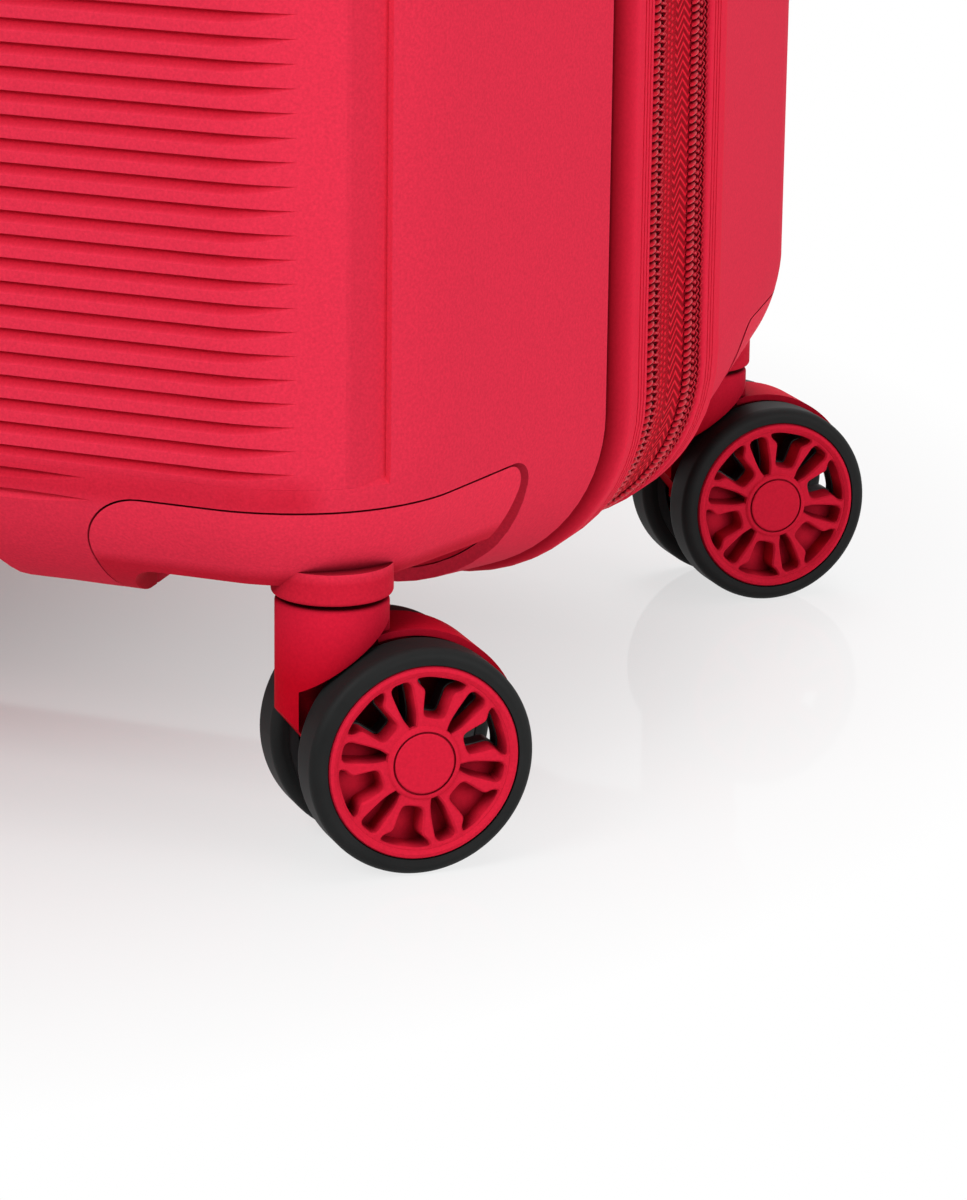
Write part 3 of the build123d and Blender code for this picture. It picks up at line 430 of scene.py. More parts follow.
RED = (0.735, 0.031, 0.068)
WHEEL_RED = (0.660, 0.015, 0.042)
FORK_RED = (0.640, 0.012, 0.038)
shell_red = shell_plastic("shell_red", RED)
# Housing: its red lifted by 1.08 as painted light from below, painted shade in its seams within 6 mm, and
# painted shade on the collar under it
collar_shade = (63.6 * MM, 66.6 * MM, (0.74, 0.42, 0.50))
housing_red = moulded(
    "housing_red", scaled(RED, 1.08), 0.56, 1500.0, 0.035 * MM, 0.10, reach=6.0 * MM, low=collar_shade
)
trim_red = trim_plastic("trim_red", (0.750, 0.021, 0.054))
# Wheels and forks: painted shade in their hollows; the forks' colour also darkens towards their low ends as
# painted shade
wheel_red = moulded("wheel_red", WHEEL_RED, 0.52, 1400.0, 0.02 * MM, 0.08, reach=4.0 * MM)
fork_shade = (41 * MM, 55 * MM, (0.80, 0.25, 0.38))
fork_red = moulded("fork_red", FORK_RED, 0.52, 1400.0, 0.02 * MM, 0.08, reach=14.0 * MM, low=fork_shade)
handle_red = moulded("handle_red", scaled(RED, 0.9), 0.55, 1200.0, 0.03 * MM, 0.08)
button_red = moulded("button_red", scaled(RED, 0.85), 0.4, 1200.0, 0.01 * MM, 0.05, 0.2)
slider_red = moulded("slider_red", scaled(RED, 0.8), 0.36, 900.0, 0.015 * MM, 0.06, 0.3)
# Coil: painted shade between its turns, within 1.3 mm
coil_red = moulded(
    "coil_red", (0.66, 0.010, 0.029), 0.32, 2600.0, 0.01 * MM, 0.06, 0.14, 1.3 * MM, 1.6, (1.0, 0.22, 0.3)
)
black_plastic = moulded("black_plastic", (0.016, 0.016, 0.017), 0.5, 1200.0, 0.03 * MM, 0.2, 0.3)
dial_grey = moulded("dial_grey", (0.05, 0.05, 0.054), 0.45, 1500.0, 0.02 * MM, 0.15, 0.4)
tyre_black = rubber("tyre_black", (0.0115, 0.012, 0.012))
pin_steel = metal("pin_steel", (0.55, 0.55, 0.56), 0.35, (900, 900, 60))
tube_metal = metal("tube_metal", (0.62, 0.62, 0.63), 0.30, (2500, 2500, 25))
lining_cloth = woven("lining_cloth", (0.075, 0.076, 0.082))
gusset_cloth = woven("gusset_cloth", (0.035, 0.035, 0.038), 0.8)
strap_webbing = woven("strap_webbing", (0.030, 0.030, 0.033), 1.6)
piping_black = moulded("piping_black", (0.02, 0.02, 0.021), 0.6, 900.0, 0.05 * MM, 0.2)
number_white = moulded("number_white", (0.75, 0.75, 0.73), 0.5, 900.0, 0.01 * MM, 0.05, 0.2)
tape_red = zipper_cloth("tape_red", (0.55, 0.007, 0.021), (4.5, 3.8, -0.6), (-5.0, -2.9))
edge_tape_red = zipper_cloth("edge_tape_red", (0.50, 0.007, 0.020), None, (-16.6, 16.6))

by_slot = {
    "shell": shell_red,
    "housing": housing_red,
    "trim": trim_red,
    "zipper": tape_red,
    "lining": lining_cloth,
    "steel": pin_steel,
    "tyre": tyre_black,
    "rim": wheel_red,
    "fork": fork_red,
    "tube": tube_metal,
    "black_plastic": black_plastic,
    "button": button_red,
    "dial": dial_grey,
    "zip_metal": slider_red,
    "handle": handle_red,
}
for part in frame["record"]["subparts"]:
    mesh = nodes[part["node"]].data
    mesh.materials.clear()
    mesh.materials.append(by_slot[part["material_slot"]])


# Zipper tapes and coils

def loop_places(grow, step):
    """Points round the case at a set-off from the shell's edge: (x, z, outward x, outward z, distance)."""
    half_x, half_z, radius = HALF_WIDE + grow, (HIGH - LOW) / 2 + grow, CORNER + grow
    straight_x, straight_z = half_x - radius, half_z - radius
    runs = (
        ("line", (half_x, -straight_z), (0, 1), 2 * straight_z, 0),
        ("arc", (straight_x, straight_z), None, radius * pi / 2, 0),
        ("line", (straight_x, half_z), (-1, 0), 2 * straight_x, 90),
        ("arc", (-straight_x, straight_z), None, radius * pi / 2, 90),
        ("line", (-half_x, straight_z), (0, -1), 2 * straight_z, 180),
        ("arc", (-straight_x, -straight_z), None, radius * pi / 2, 180),
        ("line", (-straight_x, -half_z), (1, 0), 2 * straight_x, 270),
        ("arc", (straight_x, -straight_z), None, radius * pi / 2, 270),
    )
    total = sum(run[3] for run in runs)
    count = ceil(total / step)
    step = total / count
    places, run_start, index = [], 0.0, 0
    for i in range(count):
        s = i * step
        while s > run_start + runs[index][3] + 1e-9:
            run_start += runs[index][3]
            index += 1
        kind, (x, z), direction, _, angle = runs[index]
        t = s - run_start
        if kind == "line":
            out = (cos(radians(angle)), sin(radians(angle)))
            spot = (x + direction[0] * t, z + direction[1] * t)
        else:
            turn = radians(angle) + t / radius
            out = (cos(turn), sin(turn))
            spot = (x + radius * out[0], z + radius * out[1])
        places.append((spot[0], MID_Z + spot[1], out[0], out[1], s))
    return places, total


def mesh_object(name, points, faces, material, smooth=True):
    mesh = bpy.data.meshes.new(name)
    mesh.from_pydata(points, [], faces)
    mesh.materials.append(material)
    if smooth:
        mesh.polygons.foreach_set("use_smooth", [True] * len(mesh.polygons))
    mesh.update()
    made = bpy.data.objects.new(name, mesh)
    bpy.context.scene.collection.objects.link(made)
    return made


def swept_band(name, profile, material, step=6 * MM):
    """Closed strip swept round the case. profile is a loop of (y from the middle, set-off)."""
    rows, total = loop_places(0.0, step)
    count = len(profile)
    points = [
        (x + nx * off, MID_Y + y, z + nz * off) for x, z, nx, nz, _ in rows for y, off in profile
    ]
    faces, corners = [], []
    for i, row in enumerate(rows):
        j = (i + 1) % len(rows)
        u0, u1 = row[4], total if j == 0 else rows[j][4]
        for k in range(count):
            n = (k + 1) % count
            faces.append((i * count + k, j * count + k, j * count + n, i * count + n))
            v0, v1 = profile[k][0], profile[n][0]
            corners += [(u0, v0), (u1, v0), (u1, v1), (u0, v1)]
    made = mesh_object(name, points, faces, material, smooth=False)
    layer = made.data.uv_layers.new(name="tape")
    for loop, (u, v) in zip(layer.data, corners):
        loop.uv = (u / MM, v / MM)
    return made


# Shapes of one coil turn: share of the way across, then its height and width there
BEADS = (
    (0.0, 0.25, 0.3),
    (0.08, 0.62, 0.72),
    (0.25, 0.92, 0.95),
    (0.5, 1.0, 1.0),
    (0.75, 0.92, 0.95),
    (0.92, 0.62, 0.7),
    (1.0, 0.25, 0.3),
)
LOOPS = (
    (0.0, 0.2, 0.5),
    (0.06, 0.62, 0.9),
    (0.2, 0.8, 1.0),
    (0.34, 0.62, 0.62),
    (0.6, 0.75, 0.5),
    (0.9, 0.85, 0.55),
    (1.0, 0.5, 0.5),
)


def in_hinge_run(x, z):
    """Whether a place lies on the left side, where the sewn hinge takes the zipper's place."""
    return x < -HALF_WIDE * 0.9 and HINGE_LOW < z < HINGE_HIGH


def coil(name, from_y, to_y, phase, gap, stations):
    """Row of coil turns between two depths. gap leaves out the hinge run on the left side."""
    arc = [pi * k / 6 for k in range(7)]
    lean = 0.16
    points, faces = [], []
    rows, _ = loop_places(TAPE_OUT, COIL_PITCH)
    step = rows[1][4]
    for x, z, nx, nz, _ in rows:
        if gap and in_hinge_run(x, z):
            continue
        tx, tz = -nz, nx
        start = len(points)
        for share, high, wide in stations:
            y = from_y + (to_y - from_y) * share
            slip = step * phase + lean * (share - 0.5) * COIL_WIDE
            for angle in arc:
                along = slip + cos(angle) * step * 0.46 * wide
                out = sin(angle) * COIL_RISE * high
                points.append((x + tx * along + nx * out, y, z + tz * along + nz * out))
        width = len(arc)
        for s in range(len(stations) - 1):
            for k in range(width - 1):
                a = start + s * width + k
                faces.append((a, a + 1, a + width + 1, a + width))
        faces.append(tuple(start + k for k in range(width)))
        last = start + (len(stations) - 1) * width
        faces.append(tuple(last + k for k in reversed(range(width))))
    return mesh_object(name, points, faces, coil_red)


def thread(name, y, sway, out, radius, gap):
    """Sewing thread that winds along the coil, one turn to each loop, at a depth and a height."""
    rows, total = loop_places(out, COIL_PITCH / 5)
    turns = round(total / COIL_PITCH)
    points, faces, sides = [], [], 5
    kept = []
    for x, z, nx, nz, s in rows:
        wave = 2 * pi * turns * s / total
        middle = Vector((x, y + sway * sin(wave), z))
        outward = Vector((nx, 0, nz))
        for k in range(sides):
            turn = 2 * pi * k / sides
            lift = sin(turn) + 0.6 * cos(wave)
            points.append(middle + radius * (cos(turn) * Vector((0, 1, 0)) + lift * outward))
        kept.append(not (gap and in_hinge_run(x, z)))
    for i in range(len(rows)):
        j = (i + 1) % len(rows)
        if kept[i] and kept[j]:
            for k in range(sides):
                n = (k + 1) % sides
                faces.append((i * sides + k, i * sides + n, j * sides + n, j * sides + k))
    used = sorted({corner for face in faces for corner in face})
    order = {corner: index for index, corner in enumerate(used)}
    faces = [tuple(order[corner] for corner in face) for face in faces]
    return mesh_object(name, [points[corner] for corner in used], faces, coil_red)


def tape_profile(low, high, cells):
    """Loop of a tape's section: its outer face from low to high, then back along the inside."""
    thick = 1.0 * MM
    outer = [(low + (high - low) * i / cells, TAPE_OUT) for i in range(cells + 1)]
    return outer + [(high, TAPE_OUT - thick), (low, TAPE_OUT - thick)]


main_off, expander_off = MAIN_LINE - MID_Y, EXPANDER_LINE - MID_Y
front_tape = swept_band("front_tape", tape_profile(-TRIM_INNER, main_off - PART_GAP, 4), edge_tape_red)
mid_tape = swept_band("mid_tape", tape_profile(main_off + PART_GAP, expander_off - PART_GAP, 10), tape_red)
rear_tape = swept_band("rear_tape", tape_profile(expander_off + PART_GAP, TRIM_INNER, 4), edge_tape_red)
near_coil = PART_GAP + COIL_WIDE
front_coil = coil("front_coil", MAIN_LINE - near_coil, MAIN_LINE + 0.2 * MM, 0.0, True, BEADS)
mid_front_coil = coil("mid_front_coil", MAIN_LINE + near_coil, MAIN_LINE + 0.1 * MM, 0.5, True, LOOPS)
mid_rear_coil = coil(
    "mid_rear_coil", EXPANDER_LINE - near_coil, EXPANDER_LINE + 1.2 * MM, 0.0, False, BEADS
)
rear_coil = coil("rear_coil", EXPANDER_LINE + near_coil, EXPANDER_LINE + 0.8 * MM, 0.5, False, LOOPS)
main_thread = thread(
    "main_thread", MAIN_LINE + 2.9 * MM, 0.55 * MM, TAPE_OUT + 0.45 * MM, 0.36 * MM, True
)
near_thread = thread(
    "expander_near_thread", EXPANDER_LINE + 3.9 * MM, 0.5 * MM, TAPE_OUT + 0.5 * MM, 0.36 * MM, False
)
far_thread = thread(
    "expander_far_thread", EXPANDER_LINE + 5.6 * MM, 0.35 * MM, TAPE_OUT + 0.75 * MM, 0.34 * MM, False
)
for piece, body, cad_node in (
    (front_tape, "lid", "front_zipper_half"),
    (front_coil, "lid", "front_zipper_half"),
    (mid_tape, "mid_band", "mid_zipper_band"),
    (mid_front_coil, "mid_band", "mid_zipper_band"),
    (mid_rear_coil, "mid_band", "mid_zipper_band"),
    (main_thread, "mid_band", "mid_zipper_band"),
    (rear_tape, "rear_case", "rear_zipper_half"),
    (rear_coil, "rear_case", "rear_zipper_half"),
    (near_thread, "rear_case", "rear_zipper_half"),
    (far_thread, "rear_case", "rear_zipper_half"),
):
    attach(piece, body)
    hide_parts(cad_node)


# Wheels: bevelled spokes in red before a black core, painted shade of the wheel's dark inside

def window(corners):
    """Outline of a window in the rim along the x axis, its corners rounded, from radii and half widths."""
    points = [(radius, -half) for radius, half in corners]
    points += [(radius, half) for radius, half in reversed(corners)]
    for _ in range(2):
        cut = []
        for (x, y), (u, v) in zip(points, points[1:] + points[:1]):
            cut += [(0.8 * x + 0.2 * u, 0.8 * y + 0.2 * v), (0.2 * x + 0.8 * u, 0.2 * y + 0.8 * v)]
        points = cut
    return points


def turned(points, degrees):
    c, s = cos(radians(degrees)), sin(radians(degrees))
    return [(c * x - s * y, s * x + c * y) for x, y in points]


def moved_in(points, amount):
    """Outline with each point moved to its left by an amount."""
    out = []
    for i, (x, y) in enumerate(points):
        (a, b), (c, d) = points[i - 1], points[(i + 1) % len(points)]
        along = Vector((c - a, d - b)).normalized()
        out.append((x - along.y * amount, y + along.x * amount))
    return out


def add_plate(shape, edge, windows, front, back, bevel, slot, draft=0.0):
    """Plate between two depths with windows through it that narrow by draft, its front edges bevelled."""
    points, faces, slots = shape
    flat_front, flat_back = [], []
    for index, outline in enumerate([edge] + windows):
        inward = bevel if index == 0 else -bevel
        rear = outline if index == 0 else moved_in(outline, draft)
        rows = [(moved_in(outline, inward), front), (outline, front + bevel), (rear, back)]
        start, count = len(points), len(outline)
        for row, depth in rows:
            points += [(x, depth, z) for x, z in row]
        for r in range(2):
            for k in range(count):
                a, b = start + r * count + k, start + r * count + (k + 1) % count
                quad = (a, a + count, b + count, b)
                faces.append(quad if index == 0 else quad[::-1])
                slots.append(slot)
        flat_front.append(range(start, start + count))
        flat_back.append(range(start + 2 * count, start + 3 * count))
    for loops in (flat_front, flat_back):
        order = [i for loop in loops for i in loop]
        rings = [[Vector((points[i][0], points[i][2], 0)) for i in loop] for loop in loops]
        for triangle in tessellate_polygon(rings):
            faces.append(tuple(order[i] for i in triangle))
            slots.append(slot)


def add_lathe(shape, profile, slot, turns=64):
    """Ring turned about the wheel's axis from a profile of radii and depths."""
    points, faces, slots = shape
    start, count = len(points), len(profile)
    for i in range(turns):
        c, s = cos(2 * pi * i / turns), sin(2 * pi * i / turns)
        points += [(radius * c, depth, radius * s) for radius, depth in profile]
    for i in range(turns):
        a, b = start + i * count, start + (i + 1) % turns * count
        for k in range(count - 1):
            faces.append((a + k, a + k + 1, b + k + 1, b + k))
            slots.append(slot)


def rim_mesh():
    """One rim, in millimetres about its axis, with its outer face towards -Y."""
    teardrop = window([(7.7, 0.4), (10.4, 1.5), (13.6, 2.0), (18.5, 2.45)])
    wide = window([(9.7, 1.5), (10.3, 2.5), (13.2, 3.0), (15.7, 3.3), (16.8, 5.2), (17.9, 5.75), (18.7, 2.8)])
    windows = [turned(teardrop, 107 + 60 * k) for k in range(6)]
    windows += [turned(wide, 137 + 60 * k) for k in range(6)]
    edge = [(20.8 * cos(2 * pi * k / 72), 20.8 * sin(2 * pi * k / 72)) for k in range(72)]
    shape = ([], [], [])
    add_plate(shape, edge, windows, -18.4, -13.4, 0.4, 0, 0.45)
    # Second plate and the inner rings are black plastic: painted shade of the wheel's dark inside
    add_plate(shape, edge, [moved_in(w, 0.75) for w in windows], -13.3, -9.6, 0.05, 1)
    cap = [(0.01, -19.0), (6.3, -19.0), (6.58, -18.86), (6.7, -18.3), (6.95, -18.3)]
    add_lathe(shape, cap + [(7.05, -18.85), (7.7, -18.75), (8.2, -18.4), (8.4, -17.6)], 0)
    lip = [(18.6, -13.4), (18.85, -17.7), (19.35, -18.5), (20.2, -19.0), (20.9, -18.85)]
    add_lathe(shape, lip + [(21.3, -18.2), (21.35, -13.4)], 0)
    add_lathe(shape, [(21.35, -13.4), (21.35, -7.9), (19.1, -7.9), (19.1, -13.4)], 1)
    add_lathe(shape, [(7.4, -14.6), (7.4, -6.6), (2.56, -6.6), (2.56, -17.4)], 1)
    return shape


rim_points, rim_faces, rim_slots = rim_mesh()
for half, side_y in (("front", -1), ("rear", 1)):
    for hand, side_x in (("left", -1), ("right", 1)):
        stem = Matrix.Translation((side_x * STEM_X, MID_Y + side_y * STEM_Y, 0))
        swing = Matrix.Rotation(radians(TOE if side_x > 0 else 180 - TOE), 4, "Z")
        for side, half_turns in (("outer", 0 if side_x > 0 else 1), ("inner", 1 if side_x > 0 else 0)):
            axle = Matrix.Translation((TRAIL, 0, WHEEL_RADIUS))
            place = stem @ swing @ axle @ Matrix.Rotation(pi * half_turns, 4, "Z")
            rim = mesh_object(
                f"{half}_{hand}_{side}_spoked_rim",
                [place @ (Vector(point) * MM) for point in rim_points],
                rim_faces,
                wheel_red,
            )
            rim.data.materials.append(black_plastic)
            rim.data.polygons.foreach_set("material_index", rim_slots)
            rim.data.set_sharp_from_angle(angle=radians(25))
            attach(rim, f"{half}_{hand}_{side}_wheel")
            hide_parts(f"{half}_{hand}_{side}_rim")


# Cloth: linings, gusset, hinge tape and packing straps

def rounded_ring(half_x, half_z, radius, side=26, corner=8):
    """Points of a rounded rectangle about the origin, anticlockwise."""
    ring = []
    for quarter, (sx, sz) in enumerate(((1, 1), (-1, 1), (-1, -1), (1, -1))):
        cx, cz = sx * (half_x - radius), sz * (half_z - radius)
        for k in range(corner + 1):
            turn = pi / 2 * (quarter + k / corner)
            ring.append((cx + radius * cos(turn), cz + radius * sin(turn)))
        nx, nz = ((-1, 1), (-1, -1), (1, -1), (1, 1))[quarter]
        end = radians(90 * (quarter + 1))
        ex, ez = nx * (half_x - radius) + radius * cos(end), nz * (half_z - radius) + radius * sin(end)
        x, z = ring[-1]
        ring += [(x + (ex - x) * k / side, z + (ez - z) * k / side) for k in range(1, side)]
    return ring


def pushed(point, pushes):
    """Point kept clear of what stands behind the cloth. Each push is (axis, way, limit, low, high, soft)."""
    spot = list(point)
    for axis, way, limit, low, high, soft in pushes:
        others = [i for i in range(3) if i != axis]
        far = sum(max(0.0, low[n] - spot[i], spot[i] - high[n]) ** 2 for n, i in enumerate(others)) ** 0.5
        share = max(0.0, 1 - far / soft)
        over = max(0.0, way * (spot[axis] - limit))
        spot[axis] -= way * over * share * share * (3 - 2 * share)
    return spot


def lining(name, side, mouth, deep, low, high, pushes):
    """Cloth lining of one case half, in millimetres: an open box with soft corners, a little slack."""
    radius, half_x = LINING_BEND, LINING_HALF_WIDE
    half_z, mid = (high - low) / 2, (high + low) / 2
    levels = [(0.0, mouth), (0.0, mouth + 2), (0.0, mouth + 4), (0.1, mouth + 6), (0.3, mouth + 8)]
    wall = deep - radius - mouth
    for k in range(1, 8):
        down = LINING_STRAIGHT + (wall - LINING_STRAIGHT) * k / 7
        levels.append((LINING_LEAN * down, mouth + down))
    base = levels[-1][0]
    for k in range(1, 9):
        turn = pi / 2 * k / 8
        levels.append((base + radius * (1 - cos(turn)), deep - radius + radius * sin(turn)))
    rings = []
    for inset, y in levels:
        corner = max(LINING_CORNER - inset, 4)
        rings.append((rounded_ring(half_x - inset, half_z - inset, corner), y))
    last = rings[-1][0]
    reach = half_z - half_x
    for k in range(1, 13):
        share = k / 12
        closer = [(x * (1 - share), z + (max(-reach, min(reach, z)) - z) * share) for x, z in last]
        rings.append((closer, deep))
    points = []
    for ring, y in rings:
        for x, z in ring:
            slack = field.noise(Vector((x, y * 1.5, z)) / FOLDS_COARSE)
            slack += 0.5 * field.noise(Vector((x, y, z)) / FOLDS_FINE)
            shrink = 1 - (1.2 + 1.3 * slack) / 230 * min(1.0, (y - mouth) / 12)
            sag = (1.0 + 1.6 * slack) * (y > deep - 12)
            spot = (x * shrink, side * (y - sag) + MID_Y / MM, mid + z * shrink)
            points.append(pushed(spot, pushes))
    count = len(last)
    faces = []
    for r in range(len(rings) - 1):
        for k in range(count):
            n = (k + 1) % count
            quad = (r * count + k, (r + 1) * count + k, (r + 1) * count + n, r * count + n)
            faces.append(quad if side > 0 else quad[::-1])
    made = mesh_object(name, [Vector(point) * MM for point in points], faces, lining_cloth)
    piping = tube(name + "_piping", [Vector(point) * MM for point in points[:count]], 1.5 * MM, piping_black)
    return made, piping


def tube(name, line, radius, material, around=8):
    """Closed round cord along a loop of points."""
    points, faces, count = [], [], len(line)
    for i, spot in enumerate(line):
        along = (line[(i + 1) % count] - line[i - 1]).normalized()
        across = along.cross(Vector((0, 1, 0))).normalized()
        other = along.cross(across)
        for k in range(around):
            turn = 2 * pi * k / around
            points.append(spot + radius * (cos(turn) * across + sin(turn) * other))
    for i in range(count):
        for k in range(around):
            a, b, n = i * around, (i + 1) % count * around, (k + 1) % around
            faces.append((a + k, b + k, b + n, a + n))
    return mesh_object(name, points, faces, material)


def ribbon(name, line, wide, thick, material):
    """Strap of a set width along a line, given as (point, way across, outward) rows, with soft edges."""
    section = [(-0.5, -0.2), (-0.47, 0.5), (-0.2, 0.5), (0.2, 0.5)]
    section += [(0.47, 0.5), (0.5, -0.2), (0.47, -0.5), (-0.47, -0.5)]
    points, faces, count = [], [], len(section)
    for spot, across, out in line:
        points += [spot + across * wide * a + out * thick * b for a, b in section]
    for i in range(len(line) - 1):
        for k in range(count):
            a, b, n = i * count, (i + 1) * count, (k + 1) % count
            faces.append((a + k, a + n, b + n, b + k))
    last = (len(line) - 1) * count
    faces += [tuple(reversed(range(count))), tuple(range(last, last + count))]
    return mesh_object(name, points, faces, material)


def floor_pushes(side):
    """Pushes that lift a lining over the raised base and over the king pins' bosses of one half."""
    near, pins, far = (MID_Y / MM + side * depth for depth in (54.5, 104, 145))
    pushes = [(Z, -1, 69.0, (-230, min(near, far)), (230, max(near, far)), 5.0)]
    for x in (-203, 203):
        pushes.append((Z, -1, 88.0, (x - 25, min(pins, far)), (x + 25, max(pins, far)), 14.0))
    return pushes


# Depths of the mouth and the floor, and the low and high edges
lining_span = (49.0, 133.6, 51.0, 665.5)

# What stands behind the linings: the lock, then the handle's tubes, bracket and well, and the handles' mounts
lid_pushes = [(X, 1, 207.0, (-88, 354), (-50, 446), 14.0)]
lid_lining, lid_piping = lining("lid_lining", -1, *lining_span, lid_pushes + floor_pushes(-1))
rear_pushes = [(Y, 1, 91.0, (x - 18, 20), (x + 18, 640), 12.0) for x in (-85, 85)]
rear_pushes.append((Y, 1, 91.0, (-104, 20), (104, 120), 14.0))
rear_pushes.append((Z, 1, 617.0, (-124, 72), (124, 140), 22.0))
rear_pushes += [(Z, 1, 643.0, (x - 13, 40), (x + 13, 60), 14.0) for x in (-78, 78)]
rear_pushes += [(X, 1, 197.0, (40, z - 13), (60, z + 13), 14.0) for z in (280, 436)]
rear_cloth, rear_piping = lining("rear_lining_cloth", 1, *lining_span, rear_pushes + floor_pushes(1))

# Cut of a lining: the half's floor and 104 mm of wall all round, corners darted away. The rear one has
# 102 mm more across, for the sides of the two channels over the handle's tubes.
LID_CUT, LID_CUT_AREA = (0.570, 0.743), 0.410
REAR_CUT, REAR_CUT_AREA = (0.672, 0.743), 0.475
for cloth, piping, body, cad_node, shell, cut, cut_area in (
    (lid_lining, lid_piping, "lid", "front_lining", "front_shell", LID_CUT, LID_CUT_AREA),
    (rear_cloth, rear_piping, "rear_case", "rear_lining", "rear_shell", REAR_CUT, REAR_CUT_AREA),
):
    for piece in (cloth, piping):
        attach(piece, body)
    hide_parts(cad_node)

# Section of the gusset, down one leg and up the other, then back on its inner face
fold = [(17.8, 0.2), (17.6, -8), (16.6, -17), (15.0, -23), (14.2, -24.4)]
fold += [(13.4, -23), (11.8, -17), (10.8, -8), (10.6, 0.2)]
inner_fold = [(10.9, 0.2), (11.2, -8), (12.2, -17), (13.6, -22.6), (14.2, -23.6)]
inner_fold += [(14.8, -22.6), (16.2, -17), (17.2, -8), (17.5, 0.2)]
gusset = swept_band("gusset_cloth", [(y * MM, off * MM) for y, off in fold + inner_fold], gusset_cloth)
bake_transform(gusset)
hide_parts("expansion_gusset")

hinge_rows = []
for k in range(15):
    y = MAIN_LINE + 11 * MM * (k / 14 - 0.5)
    hinge_rows.append((Vector((-HALF_WIDE - 1.9 * MM, y, MID_Z)), Vector((0, 0, 1)), Vector((-1, 0, 0))))
hinge_tape = ribbon("hinge_tape", hinge_rows, HINGE_HIGH - HINGE_LOW, 0.9 * MM, strap_webbing)
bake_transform(hinge_tape)

# Buckle where the straps cross, as rounded squares of a half width at a depth
buckle_points, buckle_faces = [], []
middle_z = STRAP_LOW + STRAP_RISE / 2
buckle_rings = (24, -4.5), (29, -4.0), (30, 0), (29, 4.0), (25, 5.0), (12, 5.6), (11.5, 5.0), (0.1, 4.8)
for half, y in buckle_rings:
    ring = rounded_ring(half, half, half * 0.45, 4, 6)
    buckle_points += [Vector((x, STRAP_DEEP - y, middle_z + z)) * MM for x, z in ring]
for r in range(len(buckle_rings) - 1):
    for k in range(len(ring)):
        n = (k + 1) % len(ring)
        buckle_faces.append(tuple(len(ring) * (r + i) + j for i, j in ((0, k), (0, n), (1, n), (1, k))))
buckle = mesh_object("strap_buckle", buckle_points, buckle_faces, black_plastic)
buckle.data.set_sharp_from_angle(angle=radians(40))
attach(buckle, "rear_case")
for name, low_x in (("rising", -1), ("falling", 1)):
    rows = []
    along = Vector((low_x * 2 * STRAP_END_X, 0, -STRAP_RISE)).normalized()
    across = Vector((along.z, 0, -along.x))
    for k in range(41):
        t = k / 40
        y = STRAP_DEEP + STRAP_SINK * abs(2 * t - 1) ** 6
        spot = Vector((low_x * (1 - 2 * t) * STRAP_END_X, y, STRAP_LOW + STRAP_RISE * t)) * MM
        rows.append((spot, across, Vector((0, -1, 0))))
    strap = ribbon(f"packing_strap_{name}", rows, STRAP_WIDE * MM, STRAP_THICK * MM, strap_webbing)
    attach(strap, "rear_case")


# Numbers on the lock's dials, one on each flat

lock_out = Vector((cos(LOCK_LEAN), -sin(LOCK_LEAN), 0))
lock_x = HALF_WIDE - LOCK_DOWN_WALL * MM * tan(LOCK_LEAN)
lock_foot = Vector((lock_x, MID_Y - LOCK_OFF_MIDDLE * MM, LOCK_HIGH * MM))
dial_middle = lock_foot - DIAL_SUNK * MM * lock_out
dial_flat = DIAL_RADIUS * MM * cos(radians(HALF_FLAT)) + 0.03 * MM
for number, along in enumerate(DIAL_PLACES, start=1):
    points, faces = [], []
    for digit in range(10):
        text = bpy.data.curves.new("digit", "FONT")
        text.body = str(digit)
        text.size = DIGIT_HIGH * MM
        text.align_x, text.align_y = "CENTER", "CENTER"
        text.resolution_u = 3
        holder = bpy.data.objects.new("digit", text)
        bpy.context.scene.collection.objects.link(holder)
        flat = bpy.data.meshes.new_from_object(holder.evaluated_get(bpy.context.evaluated_depsgraph_get()))
        out = Matrix.Rotation(radians(HALF_FLAT + 2 * HALF_FLAT * digit), 3, "Z") @ lock_out
        side = Vector((0, 0, 1)).cross(out)
        foot = dial_middle + Vector((0, 0, along * MM)) + out * dial_flat
        start = len(points)
        points += [foot + side * v.co.x + Vector((0, 0, v.co.y)) for v in flat.vertices]
        faces += [tuple(start + i for i in face.vertices) for face in flat.polygons]
        bpy.data.objects.remove(holder)
    numbers = mesh_object(f"dial_{number}_numbers", points, faces, number_white, smooth=False)
    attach(numbers, f"dial_{number}")


# Camera as fitted to the photo, light and floor

camera_data = bpy.data.cameras.new("camera")
camera_data.sensor_width = 36.0
camera_data.lens = 141.645
camera_data.clip_start = 0.05
camera_data.clip_end = 50.0
camera = bpy.data.objects.new("camera", camera_data)
bpy.context.scene.collection.objects.link(camera)
yaw, pitch, roll = radians(22.06), radians(16.33), radians(0.72)
back = Vector((sin(yaw) * cos(pitch), -cos(yaw) * cos(pitch), sin(pitch)))
right = Vector((cos(yaw), sin(yaw), 0))
up = back.cross(right)
right, up = cos(roll) * right + sin(roll) * up, cos(roll) * up - sin(roll) * right
turn = Matrix((right, up, back)).transposed()
camera.matrix_world = Matrix.Translation((0.5837, -0.9954, 0.3374)) @ turn.to_4x4()
bpy.context.scene.camera = camera


def area_light(name, place, aim, size, power):
    data = bpy.data.lights.new(name, "AREA")
    data.shape = "RECTANGLE"
    data.size, data.size_y = size
    data.energy = power
    made = bpy.data.objects.new(name, data)
    bpy.context.scene.collection.objects.link(made)
    made.location = place
    made.rotation_mode = "QUATERNION"
    made.rotation_quaternion = (Vector(aim) - Vector(place)).to_track_quat("-Z", "Y")


area_light("key", (-0.6, -2.4, 2.2), (0, 0, 0.3), (1.4, 1.4), 60)
area_light("side", (2.5, -0.8, 0.55), (0.1, 0, 0.25), (1.4, 0.9), 27)
area_light("top", (0.2, 0.1, 3.0), (0, 0, 0.3), (2.4, 2.4), 38)
area_light("rear", (-0.5, 1.7, 2.6), (0, 0.1, 0.4), (1.4, 1.4), 34)


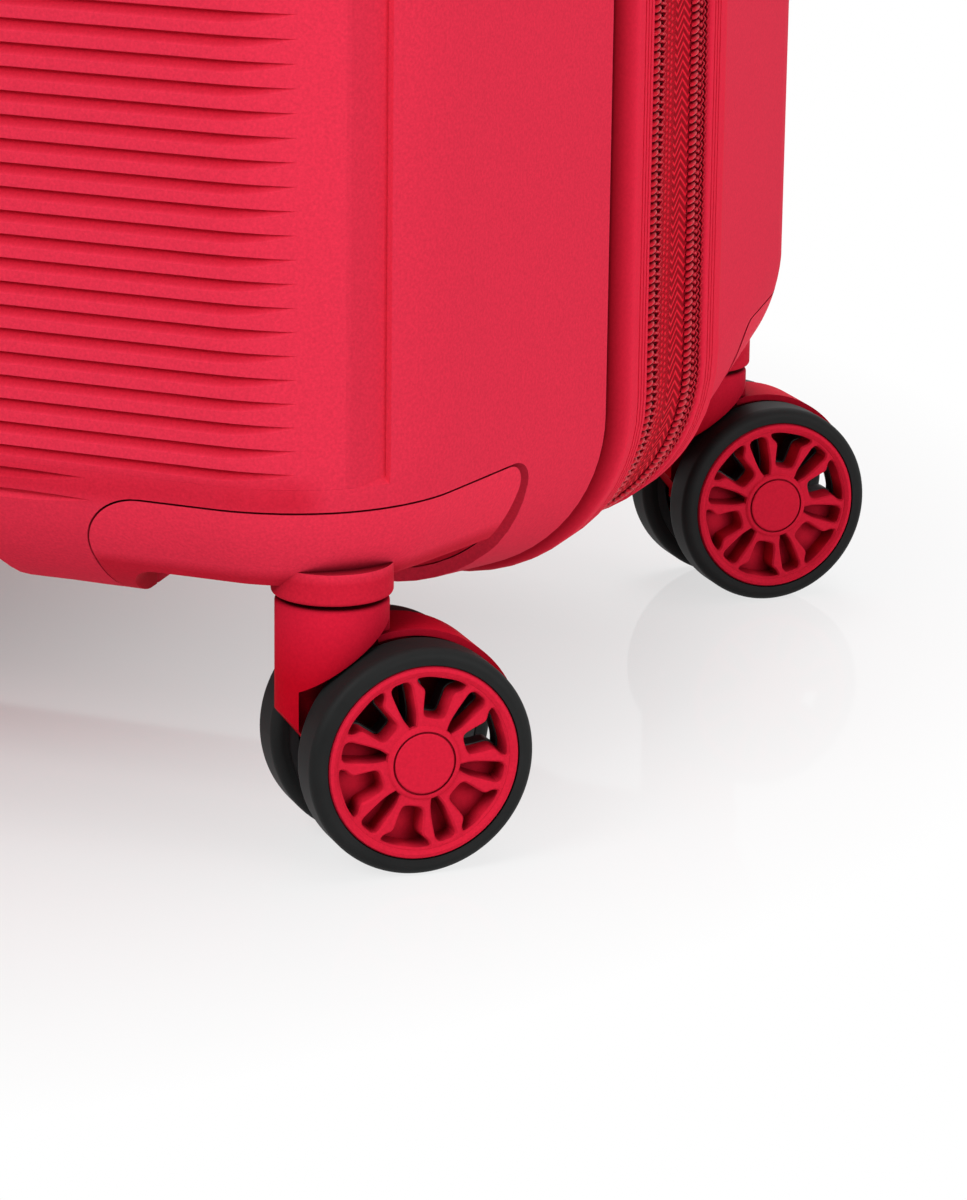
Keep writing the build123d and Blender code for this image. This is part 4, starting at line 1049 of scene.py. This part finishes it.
def background_rays(tree):
    """1 for the rays that show the white surround: seen by the camera, in a reflection or through glass."""
    path = node(tree, "ShaderNodeLightPath")
    mirrored = maths(tree, "MAXIMUM", path.outputs["Is Glossy Ray"], path.outputs["Is Transmission Ray"])
    return maths(tree, "MAXIMUM", path.outputs["Is Camera Ray"], mirrored)


world = bpy.data.worlds.new("studio")
bpy.context.scene.world = world
world.use_nodes = True
sky = world.node_tree
surround = sky.nodes["Background"]
surround.inputs["Color"].default_value = (0.98, 0.99, 1.0, 1)
surround.inputs["Strength"].default_value = 0.24
seen = node(sky, "ShaderNodeBackground", {"Color": (1, 1, 1, 1), "Strength": 1.0})
choose = node(sky, "ShaderNodeMixShader", {0: background_rays(sky), 1: surround.outputs[0], 2: seen.outputs[0]})
sky.links.new(choose.outputs[0], sky.nodes["World Output"].inputs["Surface"])

floor_material, tree, bsdf = new_material("floor_white")
where = coordinates(tree)
cloud = noise(tree, where, 3.0, 2.0)
pale = ramp(tree, cloud, (0.3, (0.66, 0.66, 0.66)), (0.7, (0.68, 0.68, 0.68)))
tree.links.new(mix_colour(tree, background_rays(tree), (0.74, 0.74, 0.74), pale), bsdf.inputs["Base Color"])
bsdf.inputs["Roughness"].default_value = 0.05
bsdf.inputs["Specular IOR Level"].default_value = 0.2
FLOOR_FADE = (0.12, 0.44)
distance = node(tree, "ShaderNodeVectorMath", {0: where, 1: (-0.12, 0.02, 0.0)}, operation="DISTANCE")
away = distance.outputs["Value"]
fade = between(tree, away, *FLOOR_FADE, 0.06, 1.0)
white = node(tree, "ShaderNodeEmission", {"Color": (1, 1, 1, 1), "Strength": 1.0})
factor = maths(tree, "MULTIPLY", fade, background_rays(tree))
surface = node(tree, "ShaderNodeMixShader", {0: factor, 1: bsdf.outputs[0], 2: white.outputs[0]})
tree.links.new(surface.outputs[0], tree.nodes["Material Output"].inputs["Surface"])
bpy.ops.mesh.primitive_plane_add(size=14, location=(0, 0, 0))
floor = bpy.context.object
floor.name = "floor"
floor.data.materials.append(floor_material)

bpy.context.scene.view_settings.view_transform = "Standard"

bpy.context.view_layer.update()
